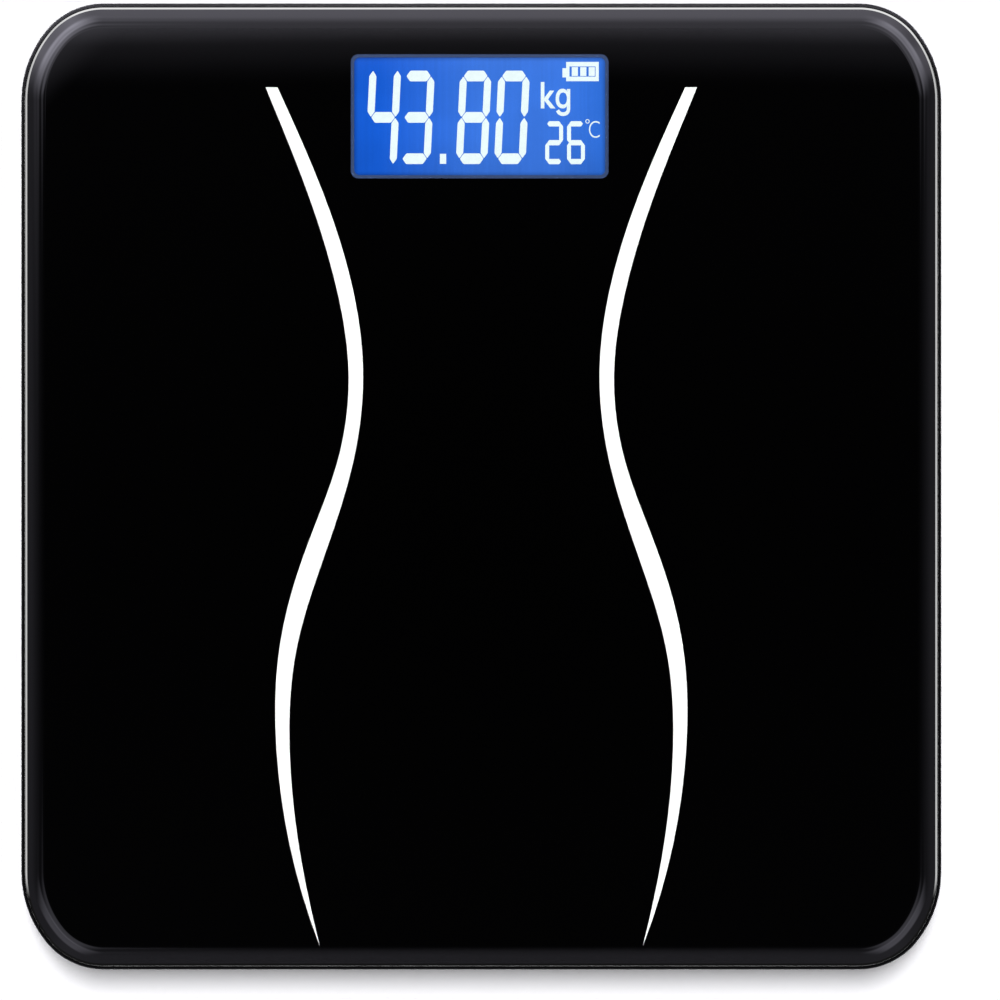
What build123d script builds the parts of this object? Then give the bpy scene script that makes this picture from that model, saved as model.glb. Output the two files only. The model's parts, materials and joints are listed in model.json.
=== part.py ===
from build123d import *

import math
import os

# A digital bathroom scale: glass platform on a shallow tray with four weighing feet.
# Millimetres. The origin is on the ground under the middle of the part,
# +X to the right, +Y to the display end, +Z up.

# Platform, in plan
WIDTH = 280.0
DEPTH = 294.0
CORNER_X = 25.0
CORNER_Y = 29.5
CORNER_TIGHT = 22.5

# Stack, from the ground up
FLOOR_GAP = 4.0
TRAY_FLOOR = 2.0
CAVITY = 12.0
TAPE_THICK = 0.8
FILM_THICK = 0.2
GLASS_THICK = 5.0

# Edge of the glass, from the outside in
CHAMFER_WIDTH = 0.8
CHAMFER_ANGLE = 40.0
BEVEL_WIDTH = 1.2
BEVEL_ANGLE = 11.0
BLEND_WIDTH = 4.3
GLASS_ARRIS = 0.4

# Tray shell
TRAY_WALL = 3.6
TRAY_ROUND = 11.0
RIM_WALL = 1.0
RIM_GAP = 0.2
RIM_DROP = 0.2
RIM_ROUND = 0.35
RIB_THICK = 1.4
RIB_HEIGHT = 5.0
RIB_PITCH = 30.0
RIB_GRID_HALF = 54.0
WELL_ROUND = 0.8
GUSSET_REACH = 9.0
GUSSET_HEIGHT = 8.0
CLIP_LENGTH = 5.0
CLIP_PITCH = 34.0
CLIP_CLEAR = 0.3
CLIP_LIP = 1.2

# Tape and film
TAPE_MARGIN = 0.4
FILM_MARGIN = 0.3

# Stripes: from the waist line, across X
STRIPE_TOP = 121.6

# Feet and load cells
FOOT_INSET_X = 42.0
FOOT_INSET_Y = 44.0
CELL_SIDE = 34.0
CELL_THICK = 2.5
CELL_CORNER = 3.0
CELL_WINDOW = 22.0
CELL_CLEAR = 2.2
TONGUE_WIDTH = 12.0
NECK_NOTCH = 1.6
NECK_REACH = 8.0
GAUGE_LENGTH = 4.0
GAUGE_WIDTH = 5.0
GAUGE_THICK = 0.3
TOWER_WALL = 2.0
WEB_THICK = 2.5
RELIEF_RADIUS = 12.0
RETAINER_THICK = 2.0
RETAINER_GAP = 0.4
RETAINER_HOLE = 9.0
FOOT_GAP = 1.5
FOOT_STANDOFF = 1.6
FOOT_BASE = 2.6
FOOT_HEIGHT = 5.4
FOOT_WALL = 1.6
FOOT_ROUND = 1.2
FOOT_BOSS = 6.0
FOOT_RIBS = 6
STUD_RADIUS = 2.0
STUD_PROUD = 1.6
STUD_CLEAR = 0.2
PAD_RADIUS = 20.0
PAD_SEAT = 0.8
PAD_CLEAR = 0.15
PAD_ROUND = 0.5
PAD_GROOVE = 0.5
PAD_GROOVE_WIDTH = 1.2
PAD_GROOVE_INNER = 8.0
PAD_GROOVE_OUTER = 14.0
NUT_RADIUS = 4.5
NUT_THICK = 0.6
NUT_SLIT = 0.5

# Screws
SCREW_CLEAR = 0.05
SCREW_PASS = 0.3
RETAINER_SCREW = 1.25
RETAINER_SCREW_HEAD = 2.5
RETAINER_SCREW_CAP = 1.4
RETAINER_SCREW_LENGTH = 5.8
RETAINER_BOSS = 2.75
RETAINER_BOSS_CLEAR = 1.25
BOARD_SCREW = 0.95
BOARD_SCREW_HEAD = 2.0
BOARD_SCREW_CAP = 1.3
BOARD_SCREW_LENGTH = 5.5
BOARD_BOSS = 3.2

# Display and board
WINDOW_X = 78.5
WINDOW_Y = 37.9
WINDOW_ROUND = 2.3
WINDOW_INSET = 34.2
WINDOW_LEFT = 0.5
FRAME_LIP = 1.0
SIGHT_ROUND = 1.7
FRAME_BORDER = 3.8
FRAME_ROUND = 2.0
FRAME_TOP = 0.8
FRAME_AIR = 0.2
PANEL_MARGIN = 1.5
PANEL_THICK = 2.2
PANEL_CLEAR = 0.15
BACKLIGHT_SIDE_ROOM = 3.4
STRIP_THICK = 2.4
STRIP_LENGTH = 64.0
LAMP_WIDTH = 2.8
LAMP_HEIGHT = 1.9
LAMP_SPREAD = 9.0
BOARD_MARGIN_X = 10.75
BOARD_MARGIN_Y = 5.05
BOARD_THICK = 1.2
BOARD_ROUND = 1.5
BOARD_LIFT = 5.8
BOARD_HOLE_INSET = 4.0
CHIP_RADIUS = 7.0
CHIP_THICK = 1.8
CHIP_X = -14.0
BEAD_RADIUS = 1.3
BEAD_SEAT = 0.4
BEAD_INSET = 3.4

# Unit button
BUTTON_X = 27.0
BUTTON_BACK = 14.0
KEY_RADIUS = 4.5
KEY_PROUD = 0.4
KEY_CLEAR = 0.3
KEY_FLANGE = 6.0
KEY_FLANGE_THICK = 1.0
KEY_FLANGE_AIR = 0.2
KEY_NECK = 2.5
KEY_DISH = 0.6
SWITCH_SIDE = 6.0
SWITCH_HEIGHT = 3.4
PLUNGER_RADIUS = 1.75
PLUNGER_CLEAR = 0.15
PLUNGER_OUT = 0.9
PLUNGER_IN = 2.0
PLUNGER_ROOM = 0.6

# Batteries, box and door
BATTERY_FORWARD = 64.8
BATTERY_LENGTH = 44.5
BATTERY_RADIUS = 5.25
BATTERY_NUB = 0.8
BATTERY_NUB_RADIUS = 1.9
BATTERY_ROUND = 0.6
BATTERY_AIR = 0.3
BATTERY_SPACE = 0.7
BOX_WALL = 1.4
BOX_ROOF = 1.2
SPRING_ROOM = 4.6
CONTACT_THICK = 0.4
CONTACT_WIDTH = 8.0
CONTACT_HALF = 4.0
CONTACT_TAIL = 3.0
CONTACT_TAIL_OUT = 1.8
CONTACT_SLIT = 0.3
DOOR_THICK = 1.6
DOOR_AIR = 0.2
DOOR_GAP = 0.3
DOOR_ROUND = 2.0
DOOR_EDGE = 0.4
END_SHELF = 8.0
SIDE_SHELF = 2.2
SHELF_THICK = 1.4
SHELF_BORDER = 3.0
HOOK_WIDTH = 5.0
HOOK_SPREAD = 7.0
HOOK_POST_IN = 1.8
HOOK_POST = 1.2
HOOK_REACH = 1.8
HOOK_AIR = 0.2
HOOK_THICK = 1.2
HOOK_SLOT_IN = 1.2
HOOK_SLOT = 4.7
LATCH_WIDTH = 9.0
LATCH_LEAF = 0.8
LATCH_GAP = 1.3
LATCH_RISE = 3.6
LATCH_NOSE = 0.5
LATCH_SLOT_CLEAR = 0.5
SCOOP_RADIUS = 6.0
SCOOP_DEPTH = 1.4
GRIP_WIDTH = 1.2
GRIP_LENGTH = 12.0
GRIP_DEPTH = 0.4
GRIP_PITCH = 2.6

# Wires
WIRE_RADIUS = 1.0
WIRE_NOTCH = 2.5
WIRE_SEAT = 0.25
WIRE_BEND = 8.0
WIRE_PAD_INSET = 10.0
WIRE_LAP = 7.0
WIRE_DROP = 22.0
WIRE_RUN_OUT = 16.0
LEAD_RADIUS = 0.7
LEAD_SEAT = 0.15
LEAD_BEND = 2.5
LEAD_X = 32.5
LEAD_STEP = 3.5

# Levels
z_floor = FLOOR_GAP + TRAY_FLOOR
z_ledge = z_floor + CAVITY
z_film = z_ledge + TAPE_THICK
z_glass = z_film + FILM_THICK
z_top = z_glass + GLASS_THICK
blend_radius = BLEND_WIDTH / math.sin(math.radians(BEVEL_ANGLE))
blend_drop = blend_radius * (1 - math.cos(math.radians(BEVEL_ANGLE)))
bevel_drop = BEVEL_WIDTH * math.tan(math.radians(BEVEL_ANGLE))
chamfer_drop = CHAMFER_WIDTH * math.tan(math.radians(CHAMFER_ANGLE))
z_rim = z_top - blend_drop - bevel_drop - chamfer_drop - RIM_DROP
z_web = z_ledge - WEB_THICK
z_cell = z_web - CELL_THICK
z_wire = z_cell + CELL_THICK / 2
z_retainer = z_cell - RETAINER_THICK
z_board = z_floor + BOARD_LIFT
z_board_top = z_board + BOARD_THICK
z_frame = z_film - FRAME_AIR
z_panel_top = z_frame - FRAME_TOP
z_panel = z_panel_top - PANEL_THICK
z_switch = z_board - SWITCH_HEIGHT
z_key = z_switch - PLUNGER_OUT
z_door = FLOOR_GAP + DOOR_THICK
z_shelf = z_door + DOOR_AIR
z_shelf_top = z_shelf + SHELF_THICK
z_battery = z_door + BATTERY_AIR + BATTERY_RADIUS
z_roof = z_battery + BATTERY_RADIUS + BATTERY_AIR
z_tail = z_battery + CONTACT_HALF
z_wire_run = z_floor + WIRE_RADIUS + WIRE_SEAT

# Plan positions
glass_inset = RIM_WALL + RIM_GAP
corner_wide = (CORNER_X**2 + CORNER_Y**2 - 2 * CORNER_Y * CORNER_TIGHT) / (2 * (CORNER_X - CORNER_TIGHT))
foot_x = WIDTH / 2 - FOOT_INSET_X
foot_y = DEPTH / 2 - FOOT_INSET_Y
boss_reach = CELL_SIDE / 2 + RETAINER_BOSS + RETAINER_BOSS_CLEAR
well_radius = (CELL_SIDE / 2 - CELL_CORNER) * math.sqrt(2) + CELL_CORNER + CELL_CLEAR
tower_radius = well_radius + TOWER_WALL
foot_radius = well_radius - FOOT_GAP
window_x = -WINDOW_LEFT
window_y = DEPTH / 2 - WINDOW_INSET
button_y = window_y - BUTTON_BACK
battery_y = window_y - BATTERY_FORWARD
board_x = WINDOW_X + 2 * BOARD_MARGIN_X
board_y = WINDOW_Y + 2 * BOARD_MARGIN_Y
panel_x = WINDOW_X + 2 * PANEL_MARGIN
panel_y = WINDOW_Y + 2 * PANEL_MARGIN
box_x = BATTERY_LENGTH + 2 * CONTACT_THICK + SPRING_ROOM
box_y = 4 * BATTERY_RADIUS + BATTERY_SPACE + 2 * BATTERY_AIR
battery_row = BATTERY_RADIUS + BATTERY_SPACE / 2
recess_x = box_x + 2 * END_SHELF
recess_y = box_y + 2 * SIDE_SHELF
door_x = recess_x - 2 * DOOR_GAP
door_y = recess_y - 2 * DOOR_GAP
hinge_x = -door_x / 2
latch_x = door_x / 2
CORNERS = {"fl": (-1, -1, 90), "fr": (1, -1, 90), "bl": (-1, 1, 0), "br": (1, 1, 180)}
UP = (Align.CENTER, Align.CENTER, Align.MIN)


def column(radius, bottom, top, x=0.0, y=0.0):
    """A round column between two levels."""
    return Pos(x, y, bottom) * Cylinder(radius, top - bottom, align=UP)


def block(size_x, size_y, bottom, top, x=0.0, y=0.0):
    """A square block between two levels."""
    return Pos(x, y, bottom) * Box(size_x, size_y, top - bottom, align=UP)


def slab(face, bottom, top):
    """A face drawn on the ground, raised between two levels."""
    return extrude(Pos(0, 0, bottom) * face, top - bottom)


def outline_wire(inset):
    """The rounded plan outline, moved in by an even distance."""
    half_x = WIDTH / 2
    half_y = DEPTH / 2
    turn = math.atan2(CORNER_Y - CORNER_TIGHT, corner_wide - CORNER_X)

    def on_wide(angle):
        radius = corner_wide - inset
        x = half_x - corner_wide + radius * math.cos(angle)
        y = half_y - CORNER_Y + radius * math.sin(angle)
        return x, y

    def on_tight(angle):
        radius = CORNER_TIGHT - inset
        x = half_x - CORNER_X + radius * math.cos(angle)
        y = half_y - CORNER_TIGHT + radius * math.sin(angle)
        return x, y

    quarter_turn = math.pi / 2
    wide_arc = [on_wide(0), on_wide(turn / 2), on_wide(turn)]
    tight_arc = [on_tight(turn), on_tight((turn + quarter_turn) / 2), on_tight(quarter_turn)]
    edges = []
    for side_x, side_y in ((1, 1), (-1, 1), (-1, -1), (1, -1)):
        for arc in (wide_arc, tight_arc):
            points = [(side_x * x, side_y * y) for x, y in arc]
            edges.append(ThreePointArc(*points))
    for side in (1, -1):
        side_x, low = on_wide(0)
        edges.append(Line((side * side_x, -low), (side * side_x, low)))
        reach, side_y = on_tight(quarter_turn)
        edges.append(Line((-reach, side * side_y), (reach, side * side_y)))
    return Wire(Wire.combine(edges)[0].edges())


def outline(inset):
    """The plan outline as a face."""
    return Face(outline_wire(inset))


def at_corners(make):
    """One copy of a corner piece in each corner, turned so its wire leaves inwards."""
    return {name: corner_place(name) * make() for name in CORNERS}


def corner_place(name):
    """Where a corner's foot stands, with local +X along its wire."""
    side_x, side_y, angle = CORNERS[name]
    return Pos(side_x * foot_x, side_y * foot_y, 0) * Rot(0, 0, angle)


def screw(radius, head, cap, length):
    """A cross-head screw along +Z, its head's seat on the ground."""
    body = column(head, -cap, 0) + column(radius, 0, length)
    crown = body.edges().group_by(Axis.Z)[0]
    body = fillet(crown, cap * 0.4)
    recess = block(head * 1.1, head * 0.25, -cap, -cap / 2) + block(head * 0.25, head * 1.1, -cap, -cap / 2)
    return body - recess


def glass_platform():
    """Toughened glass with a chamfer and a narrow shallow bevel that eases into the flat."""
    plate = slab(outline(glass_inset), z_glass, z_top)
    plate = chamfer(plate.edges().group_by(Axis.Z)[0], GLASS_ARRIS)
    bevel_in = CHAMFER_WIDTH + BEVEL_WIDTH
    blend_in = bevel_in + BLEND_WIDTH
    half_turn = math.radians(BEVEL_ANGLE / 2)
    blend_mid = (
        blend_in - blend_radius * math.sin(half_turn),
        z_top - blend_radius * (1 - math.cos(half_turn)),
    )
    low = z_top - blend_drop - bevel_drop - chamfer_drop
    edge = [
        Line((-1, low), (0, low)),
        Line((0, low), (CHAMFER_WIDTH, low + chamfer_drop)),
        Line((CHAMFER_WIDTH, low + chamfer_drop), (bevel_in, z_top - blend_drop)),
        ThreePointArc((bevel_in, z_top - blend_drop), blend_mid, (blend_in, z_top)),
        Line((blend_in, z_top), (blend_in, z_top + 1)),
        Line((blend_in, z_top + 1), (-1, z_top + 1)),
        Line((-1, z_top + 1), (-1, low)),
    ]
    path = outline_wire(glass_inset)
    start = path @ 0
    along = path % 0
    inward = Vector(0, 0, 1).cross(along)
    if inward.dot(start) > 0:
        inward = -inward
    section = Plane(start, x_dir=inward, z_dir=inward.cross(Vector(0, 0, 1))) * make_face(edge)
    return plate - sweep(section, path)


def stripe_face():
    """One waist-shaped stripe on the right, flat at the top and pointed at the bottom."""
    outer = [(65.7, STRIPE_TOP), (53.1, 90), (44.0, 60), (40.4, 34), (43.7, 8)]
    outer += [(53.8, -20), (61.6, -50), (62.4, -80), (58.2, -110), (49.2, -140)]
    inner = [(49.2, -140), (55.5, -110), (58.4, -80), (56.4, -50), (47.4, -20)]
    inner += [(38.9, 8), (36.0, 34), (39.1, 60), (48.4, 90), (62.1, STRIPE_TOP)]
    return make_face([Spline(*outer), Spline(*inner), Line(inner[-1], outer[0])])


def film_and_stripes():
    """Black printed film behind the glass, open at the window, and the stripes set in it."""
    blank = slab(outline(glass_inset + FILM_MARGIN), z_film, z_glass)
    window = Pos(window_x, window_y) * RectangleRounded(WINDOW_X, WINDOW_Y, WINDOW_ROUND)
    right = slab(stripe_face(), z_film, z_glass)
    left = mirror(right, about=Plane.YZ)
    film = blank - slab(window, z_film, z_glass) - right - left
    return film, Compound([right.solid(), left.solid()])


def bonding_tape():
    """One loop on the tray's ledge and one ring on each tower."""
    loop = slab(outline(glass_inset + TAPE_MARGIN), z_ledge, z_film)
    loop -= slab(outline(TRAY_WALL), z_ledge, z_film)
    ring = column(tower_radius, z_ledge, z_film) - column(RELIEF_RADIUS + TOWER_WALL, z_ledge, z_film)
    rings = [Pos(x * foot_x, y * foot_y, 0) * ring for x, y, angle in CORNERS.values()]
    return Compound([loop.solid()] + [ring.solid() for ring in rings])


def tray_shell():
    """The open dish with its rim and the ledge under the glass."""
    dish = slab(outline(0), FLOOR_GAP, z_rim)
    dish = fillet(dish.edges().group_by(Axis.Z)[0], TRAY_ROUND)
    dish = fillet(dish.edges().group_by(Axis.Z)[-1], RIM_ROUND)
    return dish - slab(outline(RIM_WALL), z_ledge, z_top) - tray_hollow()


def tray_hollow():
    """The room inside the tray, up to the ledge."""
    hollow = slab(outline(TRAY_WALL), z_floor, z_ledge)
    return fillet(hollow.edges().group_by(Axis.Z)[0], TRAY_ROUND - TRAY_FLOOR)


def tray_ribs():
    """A grid of low ribs across the front of the tray."""
    front = -DEPTH / 2 + TRAY_WALL + TRAY_ROUND
    back = battery_y - recess_y / 2 - SHELF_BORDER
    count = int((back - front) // RIB_PITCH)
    last = front + count * RIB_PITCH
    top = z_floor + RIB_HEIGHT
    ribs = Part()
    for step in range(count + 1):
        ribs += block(2 * RIB_GRID_HALF, RIB_THICK, z_floor, top, y=front + step * RIB_PITCH)
    for x in (-RIB_GRID_HALF, -RIB_GRID_HALF / 3, RIB_GRID_HALF / 3, RIB_GRID_HALF):
        ribs += block(RIB_THICK, last - front + RIB_THICK, z_floor, top, x=x, y=(front + last) / 2)
    return ribs


def tower():
    """A round well in a corner of the tray, closed above by the web the load cell bears on."""
    ring = column(tower_radius, FLOOR_GAP, z_ledge)
    ring -= column(well_radius, FLOOR_GAP, z_web)
    ring -= column(RELIEF_RADIUS, z_web, z_ledge)
    for side in (1, -1):
        reach = side * boss_reach
        ring += column(RETAINER_BOSS, z_cell, z_web, y=reach)
        hole_top = z_retainer + RETAINER_SCREW_LENGTH + SCREW_PASS
        ring -= column(RETAINER_SCREW + SCREW_CLEAR, z_cell, hole_top, y=reach)
    notch_in = CELL_SIDE / 2
    notch_out = tower_radius + 1
    notch_middle = (notch_in + notch_out) / 2
    notch = block(notch_out - notch_in, 2 * WIRE_NOTCH, z_cell, z_web, x=notch_middle)
    for step in range(4):
        ring += Rot(0, 0, 45 + 90 * step) * gusset()
    return ring - notch


def gusset():
    """A three-cornered web between a tower, on the Z axis, and the tray's floor to its +X side."""
    root = tower_radius - TOWER_WALL / 2
    reach = tower_radius + GUSSET_REACH
    top = z_floor + GUSSET_HEIGHT
    corners = [(root, z_floor), (reach, z_floor), (tower_radius, top), (root, top)]
    return extrude(Plane.XZ * make_face(Polyline(*corners, close=True)), RIB_THICK / 2, both=True)


def wire_clips():
    """Pairs of posts that hold the front wires down the sides of the tray."""
    spread = WIRE_RADIUS + CLIP_CLEAR + RIB_THICK / 2
    top = z_wire_run + WIRE_RADIUS + CLIP_LIP
    posts = Part()
    for side in (-1, 1):
        for step in (-0.5, 0.5):
            for edge in (-1, 1):
                x = side * foot_x + edge * spread
                posts += block(RIB_THICK, CLIP_LENGTH, z_floor, top, x, step * CLIP_PITCH)
    return posts


def battery_housing():
    """The thickened frame round the door and the box over the batteries."""
    frame_x = recess_x + 2 * SHELF_BORDER
    frame_y = recess_y + 2 * SHELF_BORDER
    housing = block(frame_x, frame_y, FLOOR_GAP, z_shelf_top)
    housing += block(box_x + 2 * BOX_WALL, box_y + 2 * BOX_WALL, z_shelf, z_roof + BOX_ROOF)
    housing -= slab(RectangleRounded(recess_x, recess_y, DOOR_ROUND), FLOOR_GAP, z_shelf)
    housing -= block(box_x, box_y, z_shelf, z_roof)
    for side in (1, -1):
        slot_x = hinge_x + HOOK_SLOT_IN + HOOK_SLOT / 2
        slot_y = side * HOOK_SPREAD
        housing -= block(HOOK_SLOT, HOOK_WIDTH + 2 * DOOR_GAP, z_shelf, z_shelf_top, slot_x, slot_y)
        slit = CONTACT_TAIL + 2 * CONTACT_SLIT
        slit_low = z_tail - CONTACT_THICK - CONTACT_SLIT
        wall_x = -box_x / 2 - BOX_WALL / 2
        housing -= block(BOX_WALL, slit, slit_low, z_tail + CONTACT_SLIT, wall_x, side * battery_row)
    latch_room = 2 * LATCH_LEAF + LATCH_GAP + LATCH_NOSE + LATCH_SLOT_CLEAR
    latch_end = recess_x / 2
    room_y = LATCH_WIDTH + 2 * DOOR_GAP
    housing -= block(latch_room, room_y, z_shelf, z_shelf_top, latch_end - latch_room / 2)
    housing -= column(SCOOP_RADIUS, FLOOR_GAP, FLOOR_GAP + SCOOP_DEPTH, x=latch_end)
    return Pos(0, battery_y, 0) * housing


def board_holes():
    """Centres of the four board screws."""
    x = board_x / 2 - BOARD_HOLE_INSET
    y = board_y / 2 - BOARD_HOLE_INSET
    return [(side_x * x, window_y + side_y * y) for side_x in (-1, 1) for side_y in (-1, 1)]


def base_tray():
    """The moulded tray that hangs under the glass and carries everything inside."""
    tray = tray_shell() + tray_ribs() + wire_clips()
    for name in CORNERS:
        place = corner_place(name)
        tray -= place * column(well_radius, FLOOR_GAP, z_ledge)
        tray += place * tower()
    mouths = tray.edges().filter_by(GeomType.CIRCLE).group_by(Axis.Z)[0]
    tray = fillet(mouths.filter_by(lambda edge: abs(edge.radius - well_radius) < RIB_THICK), WELL_ROUND)
    frame_x = recess_x + 2 * SHELF_BORDER
    frame_y = recess_y + 2 * SHELF_BORDER
    tray -= block(frame_x - 1, frame_y - 1, FLOOR_GAP, z_floor, y=battery_y)
    tray += battery_housing()
    for x, y in board_holes():
        tray += column(BOARD_BOSS, FLOOR_GAP + TRAY_FLOOR / 2, z_board, x, y)
        screw_low = z_board_top - BOARD_SCREW_LENGTH - SCREW_PASS
        tray -= column(BOARD_SCREW + SCREW_CLEAR, screw_low, z_board, x, y)
    return tray - column(KEY_RADIUS + KEY_CLEAR, FLOOR_GAP, z_floor, BUTTON_X, button_y)


def load_cell():
    """A stamped steel load cell: a square frame with a tongue that bends under the foot."""
    tongue_root = CELL_WINDOW / 2 + 1
    tongue = Pos(tongue_root / 2, 0) * Rectangle(tongue_root, TONGUE_WIDTH) + Circle(TONGUE_WIDTH / 2)
    for side in (1, -1):
        tongue -= Pos(NECK_REACH, side * TONGUE_WIDTH / 2) * Circle(NECK_NOTCH)
    window = RectangleRounded(CELL_WINDOW, CELL_WINDOW, TONGUE_WIDTH / 6)
    plate = RectangleRounded(CELL_SIDE, CELL_SIDE, CELL_CORNER) - (window - tongue)
    plate -= Circle(STUD_RADIUS + STUD_CLEAR)
    return slab(plate, z_cell, z_web)


def strain_gauge():
    """The gauge bonded on the neck of the load cell's tongue."""
    return block(GAUGE_LENGTH, GAUGE_WIDTH, z_web, z_web + GAUGE_THICK, x=NECK_REACH)


def cell_retainer():
    """The ring that holds the load cell up against the web."""
    ring = column(well_radius - RETAINER_GAP, z_retainer, z_cell) - column(RETAINER_HOLE, z_retainer, z_cell)
    for side in (1, -1):
        ring -= column(RETAINER_SCREW + SCREW_PASS, z_retainer, z_cell, y=side * boss_reach)
    return ring


def retainer_screws():
    """Two screws per corner, driven from below into the tower."""
    one = screw(RETAINER_SCREW, RETAINER_SCREW_HEAD, RETAINER_SCREW_CAP, RETAINER_SCREW_LENGTH)
    pair = [Pos(0, side * boss_reach, z_retainer) * one for side in (1, -1)]
    return Compound([(corner_place(name) * piece).solid() for name in CORNERS for piece in pair])


def foot():
    """A ribbed cup with a central boss that pushes on the load cell's tongue."""
    z_foot = FOOT_STANDOFF
    z_dish = z_foot + FOOT_BASE
    z_skirt = z_foot + FOOT_HEIGHT
    cup = column(foot_radius, z_foot, z_skirt)
    cup = fillet(cup.edges().group_by(Axis.Z)[0], FOOT_ROUND)
    cup -= column(foot_radius - FOOT_WALL, z_dish, z_skirt)
    cup += column(FOOT_BOSS, z_dish, z_cell)
    rib_reach = foot_radius - FOOT_WALL / 2
    for step in range(FOOT_RIBS):
        rib = block(rib_reach, RIB_THICK, z_dish, z_skirt - FOOT_WALL / 2, x=rib_reach / 2)
        cup += Rot(0, 0, 360 * (step + 0.5) / FOOT_RIBS) * rib
    cup += column(STUD_RADIUS, z_cell, z_web + STUD_PROUD)
    return cup - column(PAD_RADIUS, z_foot, z_foot + PAD_SEAT)


def foot_pad():
    """A grooved rubber disc set in the foot."""
    pad = column(PAD_RADIUS - PAD_CLEAR, 0, FOOT_STANDOFF + PAD_SEAT)
    pad = fillet(pad.edges().group_by(Axis.Z)[0], PAD_ROUND)
    for inner in (PAD_GROOVE_INNER, PAD_GROOVE_OUTER):
        groove = column(inner + PAD_GROOVE_WIDTH, 0, PAD_GROOVE) - column(inner, 0, PAD_GROOVE)
        pad -= groove
    return pad


def foot_nut():
    """A spring-steel push nut that keeps the foot's stud in the tongue."""
    nut = column(NUT_RADIUS, z_web, z_web + NUT_THICK)
    nut -= column(STUD_RADIUS + SCREW_CLEAR, z_web, z_web + NUT_THICK)
    slit_reach = (STUD_RADIUS + NUT_RADIUS) / 2
    for step in range(3):
        nut -= Rot(0, 0, 60 * step) * block(2 * slit_reach, NUT_SLIT, z_web, z_web + NUT_THICK)
    return nut


def lcd_frame():
    """The moulded frame that holds the display up under the window."""
    outside = RectangleRounded(WINDOW_X + 2 * FRAME_BORDER, WINDOW_Y + 2 * FRAME_BORDER, FRAME_ROUND)
    frame = slab(outside, z_board_top, z_frame)
    frame -= block(panel_x + 2 * PANEL_CLEAR, panel_y + 2 * PANEL_CLEAR, z_board_top, z_panel_top)
    sight = RectangleRounded(WINDOW_X - 2 * FRAME_LIP, WINDOW_Y - 2 * FRAME_LIP, SIGHT_ROUND)
    return Pos(window_x, window_y, 0) * (frame - slab(sight, z_panel_top, z_frame))


def lcd_panel():
    """The liquid crystal panel."""
    return block(panel_x, panel_y, z_panel, z_panel_top, window_x, window_y)


def backlight_panel():
    """The light guide under the panel, short of it at the strip's and the lamps' edges."""
    size_x = panel_x - BACKLIGHT_SIDE_ROOM
    size_y = panel_y - BACKLIGHT_SIDE_ROOM
    shift = BACKLIGHT_SIDE_ROOM / 2
    return block(size_x, size_y, z_board_top, z_panel, window_x + shift, window_y + shift)


def backlight_lamps():
    """Two side lamps on the board against the light guide."""
    lamp_x = window_x - panel_x / 2 + BACKLIGHT_SIDE_ROOM - LAMP_WIDTH / 2
    lamp = block(LAMP_WIDTH, LAMP_WIDTH, z_board_top, z_board_top + LAMP_HEIGHT, lamp_x, window_y)
    lamps = [Pos(0, side * LAMP_SPREAD, 0) * lamp for side in (1, -1)]
    return Compound([lamp.solid() for lamp in lamps])


def contact_strip():
    """The rubber strip that joins the panel's edge to the board."""
    strip_y = window_y - panel_y / 2 + BACKLIGHT_SIDE_ROOM / 2
    return block(STRIP_LENGTH, STRIP_THICK, z_board_top, z_panel, window_x, strip_y)


def circuit_board():
    """The board under the display, on four bosses."""
    board = slab(Pos(0, window_y) * RectangleRounded(board_x, board_y, BOARD_ROUND), z_board, z_board_top)
    for x, y in board_holes():
        board -= column(BOARD_SCREW + SCREW_PASS, z_board, z_board_top, x, y)
    return board


def board_screws():
    """Four screws, driven from above into the bosses."""
    one = Rot(180, 0, 0) * screw(BOARD_SCREW, BOARD_SCREW_HEAD, BOARD_SCREW_CAP, BOARD_SCREW_LENGTH)
    return Compound([(Pos(x, y, z_board_top) * one).solid() for x, y in board_holes()])


def controller_chip():
    """The chip under its drop of resin, on the board's underside."""
    drop = column(CHIP_RADIUS, z_board - CHIP_THICK, z_board, CHIP_X, window_y)
    return fillet(drop.edges().group_by(Axis.Z)[0], CHIP_THICK * 0.8)


def thermistor():
    """The bead that senses room temperature, at the board's end."""
    bead_x = board_x / 2 - BEAD_INSET
    bead = Pos(bead_x, window_y, z_board_top + BEAD_RADIUS - BEAD_SEAT) * Sphere(BEAD_RADIUS)
    side = 4 * BEAD_RADIUS
    return bead & block(side, side, z_board_top, z_board_top + side, bead_x, window_y)


def unit_button():
    """The round key in the tray's underside that changes the unit."""
    z_flange = z_floor + KEY_FLANGE_AIR
    key = column(KEY_RADIUS, FLOOR_GAP - KEY_PROUD, z_flange)
    key = fillet(key.edges().group_by(Axis.Z)[0], KEY_PROUD)
    key += column(KEY_FLANGE, z_flange, z_flange + KEY_FLANGE_THICK)
    key += column(KEY_NECK, z_flange + KEY_FLANGE_THICK, z_key)
    dish_half = KEY_RADIUS * 0.75
    dish_radius = (dish_half**2 + KEY_DISH**2) / (2 * KEY_DISH)
    key -= Pos(0, 0, FLOOR_GAP - KEY_PROUD + KEY_DISH - dish_radius) * Sphere(dish_radius)
    return Pos(BUTTON_X, button_y, 0) * key


def switch_housing():
    """The push switch on the board's underside."""
    bore_top = z_switch + PLUNGER_IN + PLUNGER_ROOM
    housing = block(SWITCH_SIDE, SWITCH_SIDE, z_switch, z_board)
    housing -= column(PLUNGER_RADIUS + PLUNGER_CLEAR, z_switch, bore_top)
    return Pos(BUTTON_X, button_y, 0) * housing


def switch_plunger():
    """The push switch's stem."""
    return column(PLUNGER_RADIUS, z_key, z_switch + PLUNGER_IN, BUTTON_X, button_y)


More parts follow.
